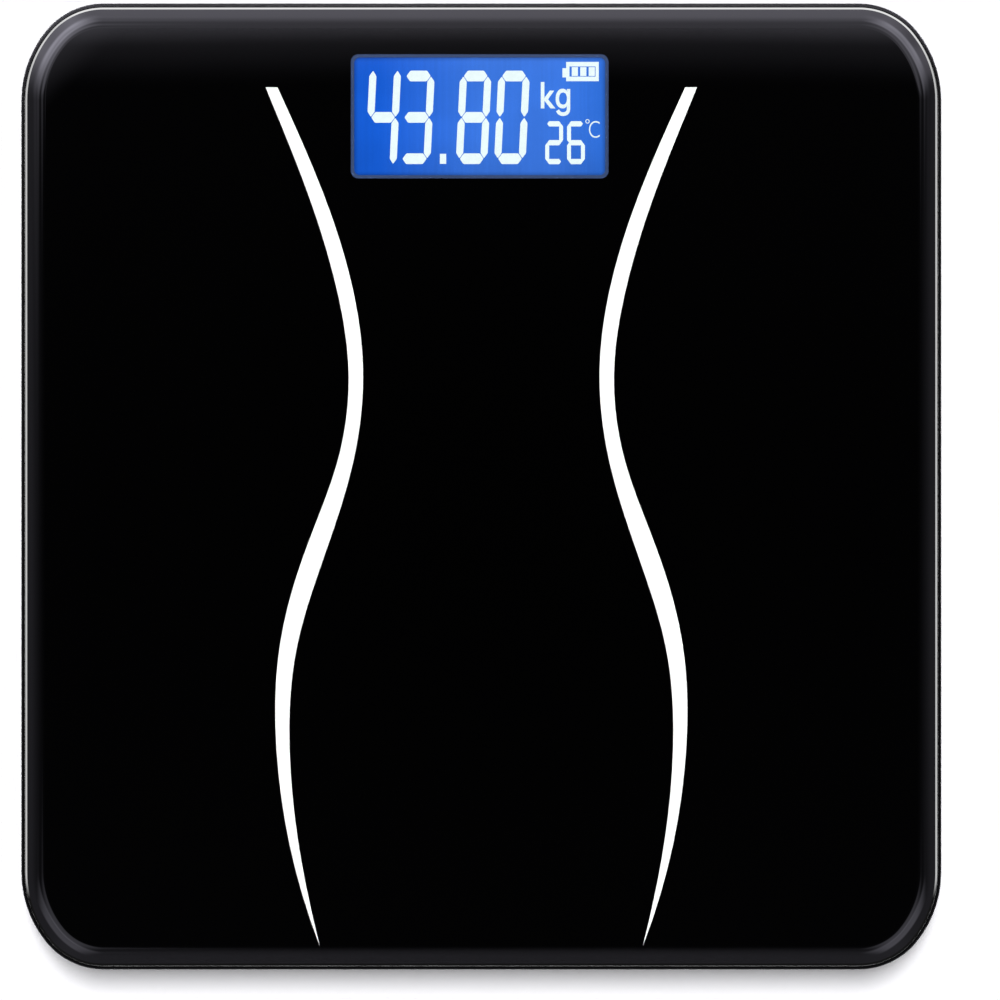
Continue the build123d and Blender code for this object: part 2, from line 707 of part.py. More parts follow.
def battery():
    """A round cell along +X, centred, its nub at the +X end."""
    body_length = BATTERY_LENGTH - BATTERY_NUB
    can = column(BATTERY_RADIUS, -BATTERY_LENGTH / 2, -BATTERY_LENGTH / 2 + body_length)
    can = fillet(can.edges().filter_by(GeomType.CIRCLE), BATTERY_ROUND)
    can += column(BATTERY_NUB_RADIUS, BATTERY_LENGTH / 2 - BATTERY_NUB, BATTERY_LENGTH / 2)
    return Rot(0, 90, 0) * can


def batteries():
    """Two cells side by side, nubs at opposite ends."""
    shift = SPRING_ROOM / 2
    back = Pos(shift, battery_y + battery_row, z_battery) * battery()
    front = Pos(-shift, battery_y - battery_row, z_battery) * Rot(0, 0, 180) * battery()
    return Compound([back.solid(), front.solid()])


def contact_plate():
    """A flat contact against the box's end wall, which is at X = 0 with the box to +X."""
    return Pos(CONTACT_THICK / 2, 0, 0) * Box(CONTACT_THICK, CONTACT_WIDTH, 2 * CONTACT_HALF)


def contact_spring():
    """A contact plate with a leaf bent forward against the battery's flat end."""
    leaf_low = -CONTACT_HALF + CONTACT_THICK / 2
    leaf_tip = SPRING_ROOM + CONTACT_THICK / 2
    points = [(CONTACT_THICK / 2, leaf_low), (leaf_tip, leaf_low / 4), (CONTACT_THICK * 3, CONTACT_HALF / 2)]
    leaf = trace(FilletPolyline(*points, radius=CONTACT_THICK), CONTACT_THICK)
    return contact_plate() + extrude(Plane.XZ * leaf, CONTACT_WIDTH / 4, both=True)


def contact_tail():
    """The tab that leaves the box through its end wall."""
    out = BOX_WALL + CONTACT_TAIL_OUT
    return Pos(-out / 2, 0, CONTACT_HALF - CONTACT_THICK / 2) * Box(out, CONTACT_TAIL, CONTACT_THICK)


def battery_contacts():
    """Two contacts with tails at the hinge end and one bridge at the latch end."""
    wall = Pos(-box_x / 2, battery_y, z_battery)
    far_wall = Pos(box_x / 2, battery_y, z_battery) * Rot(0, 0, 180)
    row = Pos(0, battery_row, 0)
    other_row = Pos(0, -battery_row, 0)
    negative = wall * row * (contact_spring() + contact_tail())
    positive = wall * other_row * (contact_plate() + contact_tail())
    joint = Pos(CONTACT_THICK / 2, 0, 0) * Box(CONTACT_THICK, 2 * battery_row, CONTACT_HALF)
    bridge = far_wall * (row * contact_spring() + other_row * contact_plate() + joint)
    return Compound([negative.solid(), positive.solid(), bridge.solid()])


def battery_door():
    """The battery door: two hooks at one end, a sprung latch at the other."""
    panel = slab(RectangleRounded(door_x, door_y, DOOR_ROUND), FLOOR_GAP, z_door)
    panel = fillet(panel.edges().group_by(Axis.Z)[0], DOOR_EDGE)
    hook_low = z_shelf_top + HOOK_AIR
    hook_top = hook_low + HOOK_THICK
    post_x = hinge_x + HOOK_POST_IN + HOOK_POST / 2
    tip_length = HOOK_REACH + HOOK_POST_IN + HOOK_POST
    tip_x = hinge_x - HOOK_REACH + tip_length / 2
    for side in (1, -1):
        panel += block(HOOK_POST, HOOK_WIDTH, z_door, hook_top, post_x, side * HOOK_SPREAD)
        panel += block(tip_length, HOOK_WIDTH, hook_low, hook_top, tip_x, side * HOOK_SPREAD)
    leaf_span = 2 * LATCH_LEAF + LATCH_GAP
    leaf_end = latch_x - LATCH_NOSE
    notch_end = leaf_end - leaf_span + LATCH_LEAF
    notch_length = latch_x - notch_end
    panel -= block(notch_length, LATCH_WIDTH + 2 * DOOR_GAP, FLOOR_GAP, z_door, latch_x - notch_length / 2)
    arch_top = z_door + LATCH_RISE
    inner_x = leaf_end - leaf_span + LATCH_LEAF / 2
    panel += block(LATCH_LEAF, LATCH_WIDTH, FLOOR_GAP + GRIP_DEPTH, arch_top, leaf_end - LATCH_LEAF / 2)
    panel += block(LATCH_LEAF, LATCH_WIDTH, z_door, arch_top, inner_x)
    panel += block(leaf_span, LATCH_WIDTH, arch_top - LATCH_LEAF, arch_top, leaf_end - leaf_span / 2)
    panel += block(LATCH_NOSE, LATCH_WIDTH, hook_low, hook_low + LATCH_LEAF, leaf_end + LATCH_NOSE / 2)
    for step in range(3):
        grip_x = inner_x - (step + 2) * GRIP_PITCH
        panel -= block(GRIP_WIDTH, GRIP_LENGTH, FLOOR_GAP, FLOOR_GAP + GRIP_DEPTH, grip_x)
    return Pos(0, battery_y, 0) * panel


def tube(points, radius, bend):
    """A wire along straight runs joined by even bends."""
    path = FilletPolyline(*points, radius=bend)
    section = Plane(path @ 0, z_dir=path % 0) * Circle(radius)
    return sweep(section, path)


def cell_wires():
    """The wires from the load cells to the board's ends."""
    z_pad = z_board - WIRE_RADIUS - WIRE_SEAT
    board_front = window_y - board_y / 2
    front_start = -foot_y + CELL_SIDE / 2
    front_out = -foot_y + tower_radius
    side_y = foot_y - tower_radius - WIRE_DROP
    wires = []
    for side in (-1, 1):
        pad_x = side * (board_x / 2 - WIRE_PAD_INSET)
        front = [(side * foot_x, front_start, z_wire)]
        front += [(side * foot_x, front_out + 4, z_wire)]
        front += [(side * foot_x, front_out + 4 + WIRE_DROP, z_wire_run)]
        front += [(side * foot_x, side_y - WIRE_RUN_OUT, z_wire_run)]
        front += [((side * foot_x + pad_x) / 2, side_y, z_wire_run)]
        front += [(pad_x, board_front - WIRE_RUN_OUT, z_pad), (pad_x, board_front + WIRE_LAP, z_pad)]
        wires.append(tube(front, WIRE_RADIUS, WIRE_BEND))
        start_x = side * (foot_x - CELL_SIDE / 2)
        end_x = side * (board_x / 2 - WIRE_LAP / 2)
        back = Line((start_x, foot_y, z_wire), (end_x, foot_y, z_wire))
        section = Plane(back @ 0, z_dir=back % 0) * Circle(WIRE_RADIUS)
        wires.append(sweep(section, back))
    return Compound([wire.solid() for wire in wires])


def battery_leads():
    """Two leads from the contacts' tails to the board's underside."""
    z_start = z_tail - CONTACT_THICK / 2
    z_pad = z_board - LEAD_RADIUS - LEAD_SEAT
    start_x = -box_x / 2 - BOX_WALL - CONTACT_TAIL_OUT
    board_front = window_y - board_y / 2
    leads = []
    for side, away in ((1, 0), (-1, LEAD_STEP)):
        lead_x = -LEAD_X - away
        lead_y = battery_y + side * battery_row
        points = [(start_x, lead_y, z_start), (lead_x, lead_y, z_start)]
        points += [(lead_x, board_front - WIRE_LAP, z_pad), (lead_x, board_front + WIRE_LAP, z_pad)]
        leads.append(tube(points, LEAD_RADIUS, LEAD_BEND))
    return Compound([lead.solid() for lead in leads])


nodes = {
    "glass_platform": glass_platform(),
    "bonding_tape": bonding_tape(),
    "base_tray": base_tray(),
    "lcd_frame": lcd_frame(),
    "lcd_panel": lcd_panel(),
    "backlight_panel": backlight_panel(),
    "backlight_lamps": backlight_lamps(),
    "contact_strip": contact_strip(),
    "circuit_board": circuit_board(),
    "board_screws": board_screws(),
    "controller_chip": controller_chip(),
    "thermistor": thermistor(),
    "unit_button": unit_button(),
    "switch_housing": switch_housing(),
    "switch_plunger": switch_plunger(),
    "batteries": batteries(),
    "battery_contacts": battery_contacts(),
    "battery_door": battery_door(),
    "battery_leads": battery_leads(),
    "cell_wires": cell_wires(),
    "retainer_screws": retainer_screws(),
}
nodes["print_film"], nodes["waist_stripes"] = film_and_stripes()
nodes["strain_gauges"] = Compound([gauge.solid() for gauge in at_corners(strain_gauge).values()])
nodes["cell_retainers"] = Compound([ring.solid() for ring in at_corners(cell_retainer).values()])
for stem, make in {"load_cell": load_cell, "foot": foot, "foot_pad": foot_pad, "foot_nut": foot_nut}.items():
    for corner, piece in at_corners(make).items():
        nodes[f"{stem}_{corner}"] = piece

os.makedirs("parts", exist_ok=True)
for name, shape in nodes.items():
    export_step(shape, f"parts/{name}.step")
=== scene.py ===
"""Looks of a glass bathroom scale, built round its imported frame.

Lengths are in metres, in the frame's own axes: +Z up out of the glass and +Y to the display end.
"""

import json
import logging
import math
from abc import ABC, abstractmethod
from dataclasses import dataclass
from enum import Enum
from functools import cache, partial, reduce
from typing import Sequence

import bmesh
import bpy
from mathutils import Color, Matrix, Vector


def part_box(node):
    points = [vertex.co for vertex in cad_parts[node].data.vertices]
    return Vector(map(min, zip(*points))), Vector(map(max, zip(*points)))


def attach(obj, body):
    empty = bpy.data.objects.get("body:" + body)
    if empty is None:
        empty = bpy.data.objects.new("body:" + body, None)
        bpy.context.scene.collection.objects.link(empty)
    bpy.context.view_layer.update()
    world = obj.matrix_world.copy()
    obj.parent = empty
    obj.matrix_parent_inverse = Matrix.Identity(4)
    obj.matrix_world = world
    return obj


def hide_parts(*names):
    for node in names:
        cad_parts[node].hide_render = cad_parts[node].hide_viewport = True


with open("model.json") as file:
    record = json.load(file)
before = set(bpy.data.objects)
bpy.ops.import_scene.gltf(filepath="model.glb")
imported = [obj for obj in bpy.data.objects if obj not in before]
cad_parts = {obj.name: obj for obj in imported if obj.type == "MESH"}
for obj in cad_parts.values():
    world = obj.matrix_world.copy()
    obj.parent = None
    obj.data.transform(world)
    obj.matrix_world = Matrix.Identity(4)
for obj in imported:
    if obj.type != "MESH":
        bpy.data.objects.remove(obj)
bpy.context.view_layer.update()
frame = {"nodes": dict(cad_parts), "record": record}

LOG = logging.getLogger("bathroom_scale")
MM = 0.001
WELD = 0.005 * MM
EVEN = {"use_even_offset": True, "use_boundary": True}
PLATFORM = "platform"

Socket = bpy.types.NodeSocket
Feed = Socket | float | Sequence[float]
Feeds = dict[str | int, Feed]
Colour = tuple[float, float, float, float]
Span = tuple[float, float]
Spans = tuple[Span, ...]
Digits = tuple[tuple[str, float], ...]
Shape = bmesh.types.BMesh
WHITE: Colour = (1.0, 1.0, 1.0, 1.0)


def display_colour(*levels: int) -> Colour:
    """Return the linear colour, opaque, of a screen's red, green and blue levels from 0 to 255."""
    return (*Color([level / 255 for level in levels]).from_srgb_to_scene_linear(), 1.0)


class Graph:
    """A shader node tree, with short calls that add a node and feed its inputs."""

    def __init__(self, tree: bpy.types.NodeTree) -> None:
        """Keep the tree that the nodes go into."""
        self.tree = tree

    def feed(self, socket: Socket, value: Feed) -> None:
        """Link an input to a socket, or set it to a plain value.

        Args:
            socket: The input.
            value: The socket that it is linked to, or the value.
        """
        if isinstance(value, Socket):
            self.tree.links.new(value, socket)
        else:
            socket.default_value = value

    def fill(self, node: bpy.types.Node, feeds: Feeds) -> None:
        """Feed a node's inputs, each by its name or number."""
        for key, value in feeds.items():
            self.feed(node.inputs[key], value)

    def add(self, kind: str, feeds: Feeds | None = None, **settings: object) -> bpy.types.Node:
        """Add one node.

        Args:
            kind: The node's type, without its ShaderNode prefix.
            feeds: What goes into each input, by the input's name or number.
            settings: Properties to set on the node before it is fed.

        Returns:
            The new node.
        """
        node = self.tree.nodes.new(f"ShaderNode{kind}")
        for name, value in settings.items():
            setattr(node, name, value)
        self.fill(node, feeds or {})
        return node

    def point(self) -> Socket:
        """Return the place on the piece, in the frame's axes."""
        return self.add("TexCoord").outputs["Object"]

    def math(self, operation: str, *values: Feed) -> Socket:
        """Return the result of one sum on plain values."""
        return self.add("Math", dict(enumerate(values)), operation=operation).outputs[0]

    def product(self, *values: Feed) -> Socket:
        """Return plain values multiplied together."""
        return reduce(partial(self.math, "MULTIPLY"), values)

    def swing(self, noise: Feed, amount: Feed, middle: Feed) -> Socket:
        """Return a middle value, moved up and down by noise from 0 to 1."""
        return self.math("MULTIPLY_ADD", self.math("SUBTRACT", noise, 0.5), amount, middle)

    def axes(self, vector: Feed) -> tuple[Socket, Socket, Socket]:
        """Return a vector's three parts."""
        return tuple(self.add("SeparateXYZ", {0: vector}).outputs)

    def noise(self, vector: Feed, scale: Feed, detail: float = 2.0) -> Socket:
        """Return soft noise from 0 to 1 at so many lumps a metre."""
        return self.add("TexNoise", {"Vector": vector, "Scale": scale, "Detail": detail}).outputs[0]

    def remap(self, value: Feed, low: Feed, high: Feed, out_low: Feed = 0.0, out_high: Feed = 1.0) -> Socket:
        """Ease a value from one range into another.

        Args:
            value: What is eased.
            low: Where it starts.
            high: Where it ends.
            out_low: Result at the start and before it.
            out_high: Result at the end and past it.

        Returns:
            The eased value.
        """
        feeds = dict(enumerate((value, low, high, out_low, out_high)))
        return self.add("MapRange", feeds, interpolation_type="SMOOTHSTEP").outputs[0]

    def mix(self, share: Feed, first: Feed, second: Feed) -> Socket:
        """Return one colour blended into another."""
        return self.add("Mix", {0: share, 6: first, 7: second}, data_type="RGBA").outputs[2]

    def tint(self, colour: Feed, amount: Feed) -> Socket:
        """Return a colour made lighter or darker by a factor."""
        start = colour if isinstance(colour, Socket) else colour[:3]
        return self.add("VectorMath", {0: start, "Scale": amount}, operation="SCALE").outputs[0]

    def ramp(self, value: Feed, stops: Sequence[tuple[float, Colour]]) -> Socket:
        """Run a value through a row of colours.

        Args:
            value: Where in the row, from 0 to 1.
            stops: Each colour with its place in the row.

        Returns:
            The colour at that place.
        """
        node = self.add("ValToRGB", {0: value})
        elements = node.color_ramp.elements
        while len(elements) < len(stops):
            elements.new(1.0)
        for element, (place, colour) in zip(elements, stops):
            element.position = place
            element.color = colour
        return node.outputs[0]

    def bump(self, shader: bpy.types.Node, height: Socket, depth: float) -> None:
        """Raise a shader's surface by a height map of that depth in metres."""
        relief = self.add("Bump", {"Height": height, "Strength": 1.0, "Distance": depth})
        self.feed(shader.inputs["Normal"], relief.outputs[0])

    def blend(self, share: Feed, first: bpy.types.Node, second: bpy.types.Node) -> None:
        """Make the material's surface of one shader blended into another."""
        mixed = self.add("MixShader", {0: share, 1: first.outputs[0], 2: second.outputs[0]})
        self.feed(self.tree.nodes["Material Output"].inputs["Surface"], mixed.outputs[0])


@dataclass(frozen=True)
class Mottle:
    """Soft lumps of lighter and darker shade, so many a metre."""

    lumps: float
    hollow: float
    crest: float
    detail: float = 2.0
    low: float = 0.3
    high: float = 0.7

    def shade(self, graph: Graph, place: Socket) -> Socket:
        """Return the factor that a place is lightened or darkened by."""
        lumps = graph.noise(place, self.lumps, self.detail)
        return graph.remap(lumps, self.low, self.high, self.hollow, self.crest)


class Kind(Enum):
    """What a node group's socket carries."""

    COLOUR = "NodeSocketColor"
    VALUE = "NodeSocketFloat"
    VECTOR = "NodeSocketVector"


SURFACE = {"Colour": Kind.COLOUR, "Roughness": Kind.VALUE, "Height": Kind.VALUE}


def new_group(name: str, inputs: dict[str, Kind]) -> tuple[Graph, bpy.types.Node, bpy.types.Node]:
    """Start a shader node group that gives a surface.

    Args:
        name: The group's name.
        inputs: What it takes.

    Returns:
        The graph to fill, the node that brings the inputs and the node that takes the outputs.
    """
    tree = bpy.data.node_groups.new(name, "ShaderNodeTree")
    for side, sockets in (("INPUT", inputs), ("OUTPUT", SURFACE)):
        for label, kind in sockets.items():
            tree.interface.new_socket(label, in_out=side, socket_type=kind.value)
    return Graph(tree), tree.nodes.new("NodeGroupInput"), tree.nodes.new("NodeGroupOutput")


@cache
def grain_group() -> bpy.types.NodeTree:
    """Build the fine grain of moulded plastic and rubber.

    Returns:
        A group that takes a colour, a grain size, a spread of shade and a roughness, and gives the
        colour and roughness over the surface and the height of the grain.
    """
    takes = {"Colour": Kind.COLOUR, "Grain": Kind.VALUE, "Spread": Kind.VALUE, "Roughness": Kind.VALUE}
    graph, given, made = new_group("moulded_grain", takes)
    flow_lines, handling, wear = 28.0, 140.0, 0.22
    point = graph.point()
    spread = given.outputs["Spread"]
    fine = graph.noise(point, graph.math("DIVIDE", 1.0, given.outputs["Grain"]), 3.0)
    shade = graph.swing(graph.noise(point, flow_lines), spread, 1.0)
    colour = graph.tint(given.outputs["Colour"], graph.swing(fine, spread, shade))
    rough = graph.swing(graph.noise(point, handling), wear, given.outputs["Roughness"])
    graph.fill(made, {"Colour": colour, "Roughness": rough, "Height": fine})
    return graph.tree


@cache
def brushed_group() -> bpy.types.NodeTree:
    """Build the drawn lines of rolled and turned metal.

    Returns:
        A group that takes a colour, the stretch of the lines on each axis and a roughness, and gives
        the colour and roughness over the surface and the height of the lines.
    """
    takes = {"Colour": Kind.COLOUR, "Stretch": Kind.VECTOR, "Roughness": Kind.VALUE}
    graph, given, made = new_group("brushed_lines", takes)
    hollow, crest, wear = 0.82, 1.12, 0.25
    stains = Mottle(160.0, 1.0, 0.86, low=0.35, high=0.75)
    point = graph.point()
    stretched = graph.add("VectorMath", {0: point, 1: given.outputs["Stretch"]}, operation="MULTIPLY")
    lines = graph.noise(stretched.outputs[0], 1.0, 4.0)
    shade = graph.product(graph.remap(lines, 0.25, 0.75, hollow, crest), stains.shade(graph, point))
    colour = graph.tint(given.outputs["Colour"], shade)
    rough = graph.swing(lines, wear, given.outputs["Roughness"])
    graph.fill(made, {"Colour": colour, "Roughness": rough, "Height": lines})
    return graph.tree


RECORD_COLOURS = {entry["slot"]: entry["base_color"] for entry in frame["record"]["materials"]}


@dataclass(frozen=True)
class Finish(ABC):
    """A surface finish for one of the record's material slots."""

    slot: str

    @property
    def colour(self) -> Colour:
        """Return the slot's own colour, opaque."""
        return (*RECORD_COLOURS[self.slot][:3], 1.0)

    @abstractmethod
    def dress(self, graph: Graph, shader: bpy.types.Node) -> None:
        """Feed the material's shader.

        Args:
            graph: The material's graph.
            shader: Its Principled shader.
        """

    @cache
    def material(self) -> bpy.types.Material:
        """Build the finish's material once.

        Returns:
            The material, the same one at each call.
        """
        material = bpy.data.materials.new(f"{self.slot}_finish")
        material.use_nodes = True
        self.dress(Graph(material.node_tree), material.node_tree.nodes["Principled BSDF"])
        return material


@dataclass(frozen=True)
class Moulding(Finish):
    """Moulded plastic or rubber with a fine even grain, up to a smooth rim if it has one, whose colour is
    darkened with painted shade.
    """

    grain: float = 0.45 * MM
    depth: float = 0.03 * MM
    spread: float = 0.35
    roughness: float = 0.5
    shine: float = 0.5
    rim: Span | None = None
    # Painted shade: on the rim the colour is this small share of the slot's colour, so the rim reads near
    # black under the light from above.
    rim_painted_shade: float = 0.06
    rim_roughness: float = 0.03

    def up_wall(self, graph: Graph, below: Feed, above: Feed) -> Feed:
        """Return the value below the rim, eased into the value on the rim if there is one."""
        return graph.remap(graph.axes(graph.point())[2], *self.rim, below, above) if self.rim else below

    def dress(self, graph: Graph, shader: bpy.types.Node) -> None:
        """Lay the grain over the slot's colour, polish the rim, and darken the rim's colour as painted
        shade.
        """
        sizes = {"Grain": self.grain, "Spread": self.spread}
        feeds = sizes | {"Colour": self.colour, "Roughness": self.roughness}
        made = graph.add("Group", feeds, node_tree=grain_group()).outputs
        # Painted shade: the colour is darkened up the wall onto the rim.
        colour = graph.tint(made["Colour"], self.up_wall(graph, 1.0, self.rim_painted_shade))
        rough = self.up_wall(graph, made["Roughness"], self.rim_roughness)
        graph.fill(shader, {"Base Color": colour, "Roughness": rough, "Specular IOR Level": self.shine})
        graph.bump(shader, graph.product(made["Height"], self.up_wall(graph, 1.0, 0.0)), self.depth)


@dataclass(frozen=True)
class BrushedMetal(Finish):
    """Rolled or turned metal with drawn lines along one axis."""

    stretch: tuple[float, float, float] = (90.0, 2600.0, 2600.0)
    roughness: float = 0.32
    depth: float = 0.01 * MM

    def dress(self, graph: Graph, shader: bpy.types.Node) -> None:
        """Draw the lines in the slot's colour."""
        feeds = {"Colour": self.colour, "Stretch": self.stretch, "Roughness": self.roughness}
        made = graph.add("Group", feeds, node_tree=brushed_group()).outputs
        graph.fill(shader, {"Base Color": made["Colour"], "Roughness": made["Roughness"], "Metallic": 1.0})
        graph.bump(shader, made["Height"], self.depth)


@dataclass(frozen=True)
class Ink(Finish):
    """Screen print on the back of the glass, which has no gloss of its own."""

    shade: Colour
    threads: Mottle = Mottle(4200.0, 0.94, 1.0, detail=1.0, low=0.2, high=0.8)
    coats: Mottle = Mottle(22.0, 0.95, 1.0, low=0.2, high=0.8)
    roughness: float = 0.6

    def dress(self, graph: Graph, shader: bpy.types.Node) -> None:
        """Print the shade, a little thinner between the threads of the screen."""
        point = graph.point()
        cover = graph.product(self.threads.shade(graph, point), self.coats.shade(graph, point))
        colour = graph.tint(self.shade, cover)
        graph.fill(shader, {"Base Color": colour, "Roughness": self.roughness, "Specular IOR Level": 0.0})


@dataclass(frozen=True)
class ClearGlass(Finish):
    """Toughened clear glass that lamps shine through, dark over the plain border of the print."""

    body: Colour = (0.97, 0.995, 0.985, 1.0)
    edge_body: Colour = (0.93, 0.985, 0.965, 1.0)
    drift: float = 9.0
    border: Colour = (0.0, 0.0, 0.0, 1.0)
    border_depth: float = 1.5 * MM
    clear_margin: float = 4.0 * MM
    side_fade: float = 45.0 * MM
    back_fade: float = 6.0 * MM
    front_fade: float = 5.0 * MM
    index: float = 1.52

    def dress(self, graph: Graph, shader: bpy.types.Node) -> None:
        """Make the shader glass, and let shadow and diffuse rays straight through it."""
        clear = graph.mix(graph.noise(graph.point(), self.drift), self.body, self.edge_body)
        share = graph.math("MAXIMUM", self.wall(graph), self.sight(graph))
        graph.fill(shader, {"Base Color": graph.mix(share, self.border, clear), "Roughness": 0.0})
        graph.fill(shader, {"IOR": self.index, "Transmission Weight": 1.0})
        path = graph.add("LightPath").outputs
        lamp_rays = graph.math("MAXIMUM", path["Is Shadow Ray"], path["Is Diffuse Ray"])
        graph.blend(lamp_rays, shader, graph.add("BsdfTransparent"))

    def wall(self, graph: Graph) -> Socket:
        """Return 1 on the upright edge and the lower face of the glass, and 0 above them."""
        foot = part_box("glass_platform")[1].z - self.border_depth
        return graph.math("LESS_THAN", graph.axes(graph.point())[2], foot)

    def sight(self, graph: Graph) -> Socket:
        """Find the part of the glass that the stripes and the display are seen through.

        Args:
            graph: The material's graph.

        Returns:
            The share of clear glass: 1 over the stripes and the display, 0 over the border.
        """
        low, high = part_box("waist_stripes")
        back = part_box("lcd_panel")[1].y
        across, along, _ = graph.axes(graph.point())
        side = high.x + self.clear_margin
        inside = graph.remap(graph.math("ABSOLUTE", across), side, side + self.side_fade, 1.0, 0.0)
        front = graph.remap(along, low.y - self.front_fade, low.y)
        behind = graph.remap(along, back, back + self.back_fade, 1.0, 0.0)
        return graph.product(inside, front, behind)


@dataclass(frozen=True)
class Lit(Finish):
    """A part of the display that is lit from behind, with no gloss of its own."""

    strength: float = 1.0
    unlit: float = 0.1

    def glow(self, graph: Graph, shader: bpy.types.Node, ground: Feed, level: Socket) -> None:
        """Light a ground colour by a level at each place."""
        lit, unlit = graph.tint(ground, level), graph.tint(ground, self.unlit)
        feeds = {"Emission Color": lit, "Emission Strength": self.strength, "Base Color": unlit}
        graph.fill(shader, feeds | {"Specular IOR Level": 0.0})


@dataclass(frozen=True)
class LitPanel(Lit):
    """The lit ground of the display, brighter away from the lamps at its left end."""

    stops: tuple[tuple[float, Colour], ...] = (
        (0.12, display_colour(22, 92, 213)),
        (0.5, display_colour(60, 118, 225)),
        (0.8, display_colour(60, 118, 225)),
        (1.0, display_colour(44, 107, 214)),
    )
    streaks: Mottle = Mottle(900.0, 0.96, 1.04, detail=3.0)
    clouds: Mottle = Mottle(60.0, 0.94, 1.05)
    foot_light: float = 0.84
    edge_start: float = 4.0 * MM
    edge_stop: float = 1.4 * MM
    edge_light: float = 0.28

    def dress(self, graph: Graph, shader: bpy.types.Node) -> None:
        """Light the panel across its width, dimmer at its edges and faintly streaked."""
        low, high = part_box("lcd_panel")
        middle, half = (low + high) / 2, (high - low) / 2
        across, along, _ = graph.axes(graph.point())
        place = graph.add("MapRange", {0: across, 1: low.x, 2: high.x}).outputs[0]
        column = graph.add("CombineXYZ", {0: across}).outputs[0]
        level = graph.product(
            self.streaks.shade(graph, column),
            self.clouds.shade(graph, graph.point()),
            self.edge_dim(graph, across, middle.x, half.x),
            self.edge_dim(graph, along, middle.y, half.y),
            graph.remap(along, low.y, middle.y, self.foot_light, 1.0),
        )
        self.glow(graph, shader, graph.ramp(place, self.stops), level)

    def edge_dim(self, graph: Graph, place: Socket, middle: float, half: float) -> Socket:
        """Return the share of light that is left towards the two ends of one axis."""
        reach = graph.math("ABSOLUTE", graph.math("SUBTRACT", place, middle))
        return graph.remap(reach, half - self.edge_start, half - self.edge_stop, 1.0, self.edge_light)


@dataclass(frozen=True)
class LitSegment(Lit):
    """A clear segment of the display, lit white from behind."""

    strength: float = 0.98
    light: Colour = display_colour(240, 252, 255)
    clouds: Mottle = Mottle(700.0, 0.97, 1.02)

    def dress(self, graph: Graph, shader: bpy.types.Node) -> None:
        """Light the segment almost evenly."""
        self.glow(graph, shader, self.light, self.clouds.shade(graph, graph.point()))


@dataclass(frozen=True)
class DottedSheet(Finish):
    """A moulded sheet with small printed dots, such as a light guide or a gauge's grid."""

    dots: Colour = WHITE
    pitch: float = 1.1 * MM
    dot_edge: Span = (0.3, 0.36)
    roughness: float = 0.3
    dot_dullness: float = 0.3

    def dress(self, graph: Graph, shader: bpy.types.Node) -> None:
        """Print the dots on the slot's colour."""
        feeds = {"Vector": graph.point(), "Scale": 1 / self.pitch, "Randomness": 0.0}
        cells = graph.add("TexVoronoi", feeds)
        inside = graph.remap(cells.outputs["Distance"], *self.dot_edge, 1.0, 0.0)
        rough = graph.math("MULTIPLY_ADD", inside, self.dot_dullness, self.roughness)
        graph.fill(shader, {"Base Color": graph.mix(inside, self.colour, self.dots), "Roughness": rough})


@dataclass(frozen=True)
class SolderMask(Finish):
    """A circuit board's lacquer, lighter where a track runs under it."""

    track: Colour = (0.06, 0.36, 0.15, 1.0)
    pitch: float = 3.2 * MM
    track_pitch: float = 0.16
    track_edge: Span = (0.07, 0.09)
    track_height: float = 0.02 * MM
    clouds: Mottle = Mottle(60.0, 0.85, 1.1)
    roughness: float = 0.35

    def dress(self, graph: Graph, shader: bpy.types.Node) -> None:
        """Lay the tracks under the slot's colour."""
        point = graph.point()
        feeds = {"Vector": point, "Scale": 1 / self.pitch}
        cells = graph.add("TexVoronoi", feeds, distance="MANHATTAN", feature="F2")
        bands = graph.math("PINGPONG", cells.outputs["Distance"], self.track_pitch)
        track = graph.remap(bands, *self.track_edge)
        colour = graph.tint(graph.mix(track, self.colour, self.track), self.clouds.shade(graph, point))
        graph.fill(shader, {"Base Color": colour, "Roughness": self.roughness})
        graph.bump(shader, track, self.track_height)


@dataclass(frozen=True)
class CellJacket(Finish):
    """A battery's printed sleeve, with bare metal at both ends."""

    metal: Colour = (0.72, 0.72, 0.73, 1.0)
    band: Colour = (0.42, 0.44, 0.47, 1.0)
    bare_end: float = 2.2 * MM
    band_width: float = 9.0 * MM
    scuffs: Mottle = Mottle(320.0, 0.9, 1.15, detail=4.0, low=0.4, high=0.8)
    roughness: float = 0.28

    def dress(self, graph: Graph, shader: bpy.types.Node) -> None:
        """Wrap the sleeve round the middle, with a pale band beside one bare end."""
        low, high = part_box("batteries")
        across, _, _ = graph.axes(graph.point())
        bare_left = graph.math("LESS_THAN", across, low.x + self.bare_end)
        bare_right = graph.math("GREATER_THAN", across, high.x - self.bare_end)
        bare = graph.math("MAXIMUM", bare_left, bare_right)
        banded = graph.math("GREATER_THAN", across, high.x - self.bare_end - self.band_width)
        scuffs = self.scuffs.shade(graph, graph.point())
        sleeve = graph.tint(graph.mix(banded, self.colour, self.band), scuffs)
        colour = graph.mix(bare, sleeve, self.metal)
        rough = graph.product(scuffs, self.roughness)
        graph.fill(shader, {"Base Color": colour, "Metallic": bare, "Roughness": rough})


@dataclass(frozen=True)
class SmoothSkin(Finish):
    """A glossy skin with slow changes of shade, such as cast resin or wire insulation."""

    roughness: float = 0.3
    lumps: float = 420.0
    spread: float = 0.25

    def dress(self, graph: Graph, shader: bpy.types.Node) -> None:
        """Vary the slot's shade and gloss together."""
        clouds = Mottle(self.lumps, 1 - self.spread, 1 + self.spread, detail=3.0)
        shade = clouds.shade(graph, graph.point())
        rough = graph.product(shade, self.roughness)
        graph.fill(shader, {"Base Color": graph.tint(self.colour, shade), "Roughness": rough})


def coat(finish: Finish, node: str) -> None:
    """Give a CAD node its finish.

    Args:
        finish: The finish.
        node: Name of the node that takes it.
    """
    for slot in frame["nodes"][node].material_slots:
        slot.material = finish.material()
    LOG.info("%s: %s", node, finish.slot)


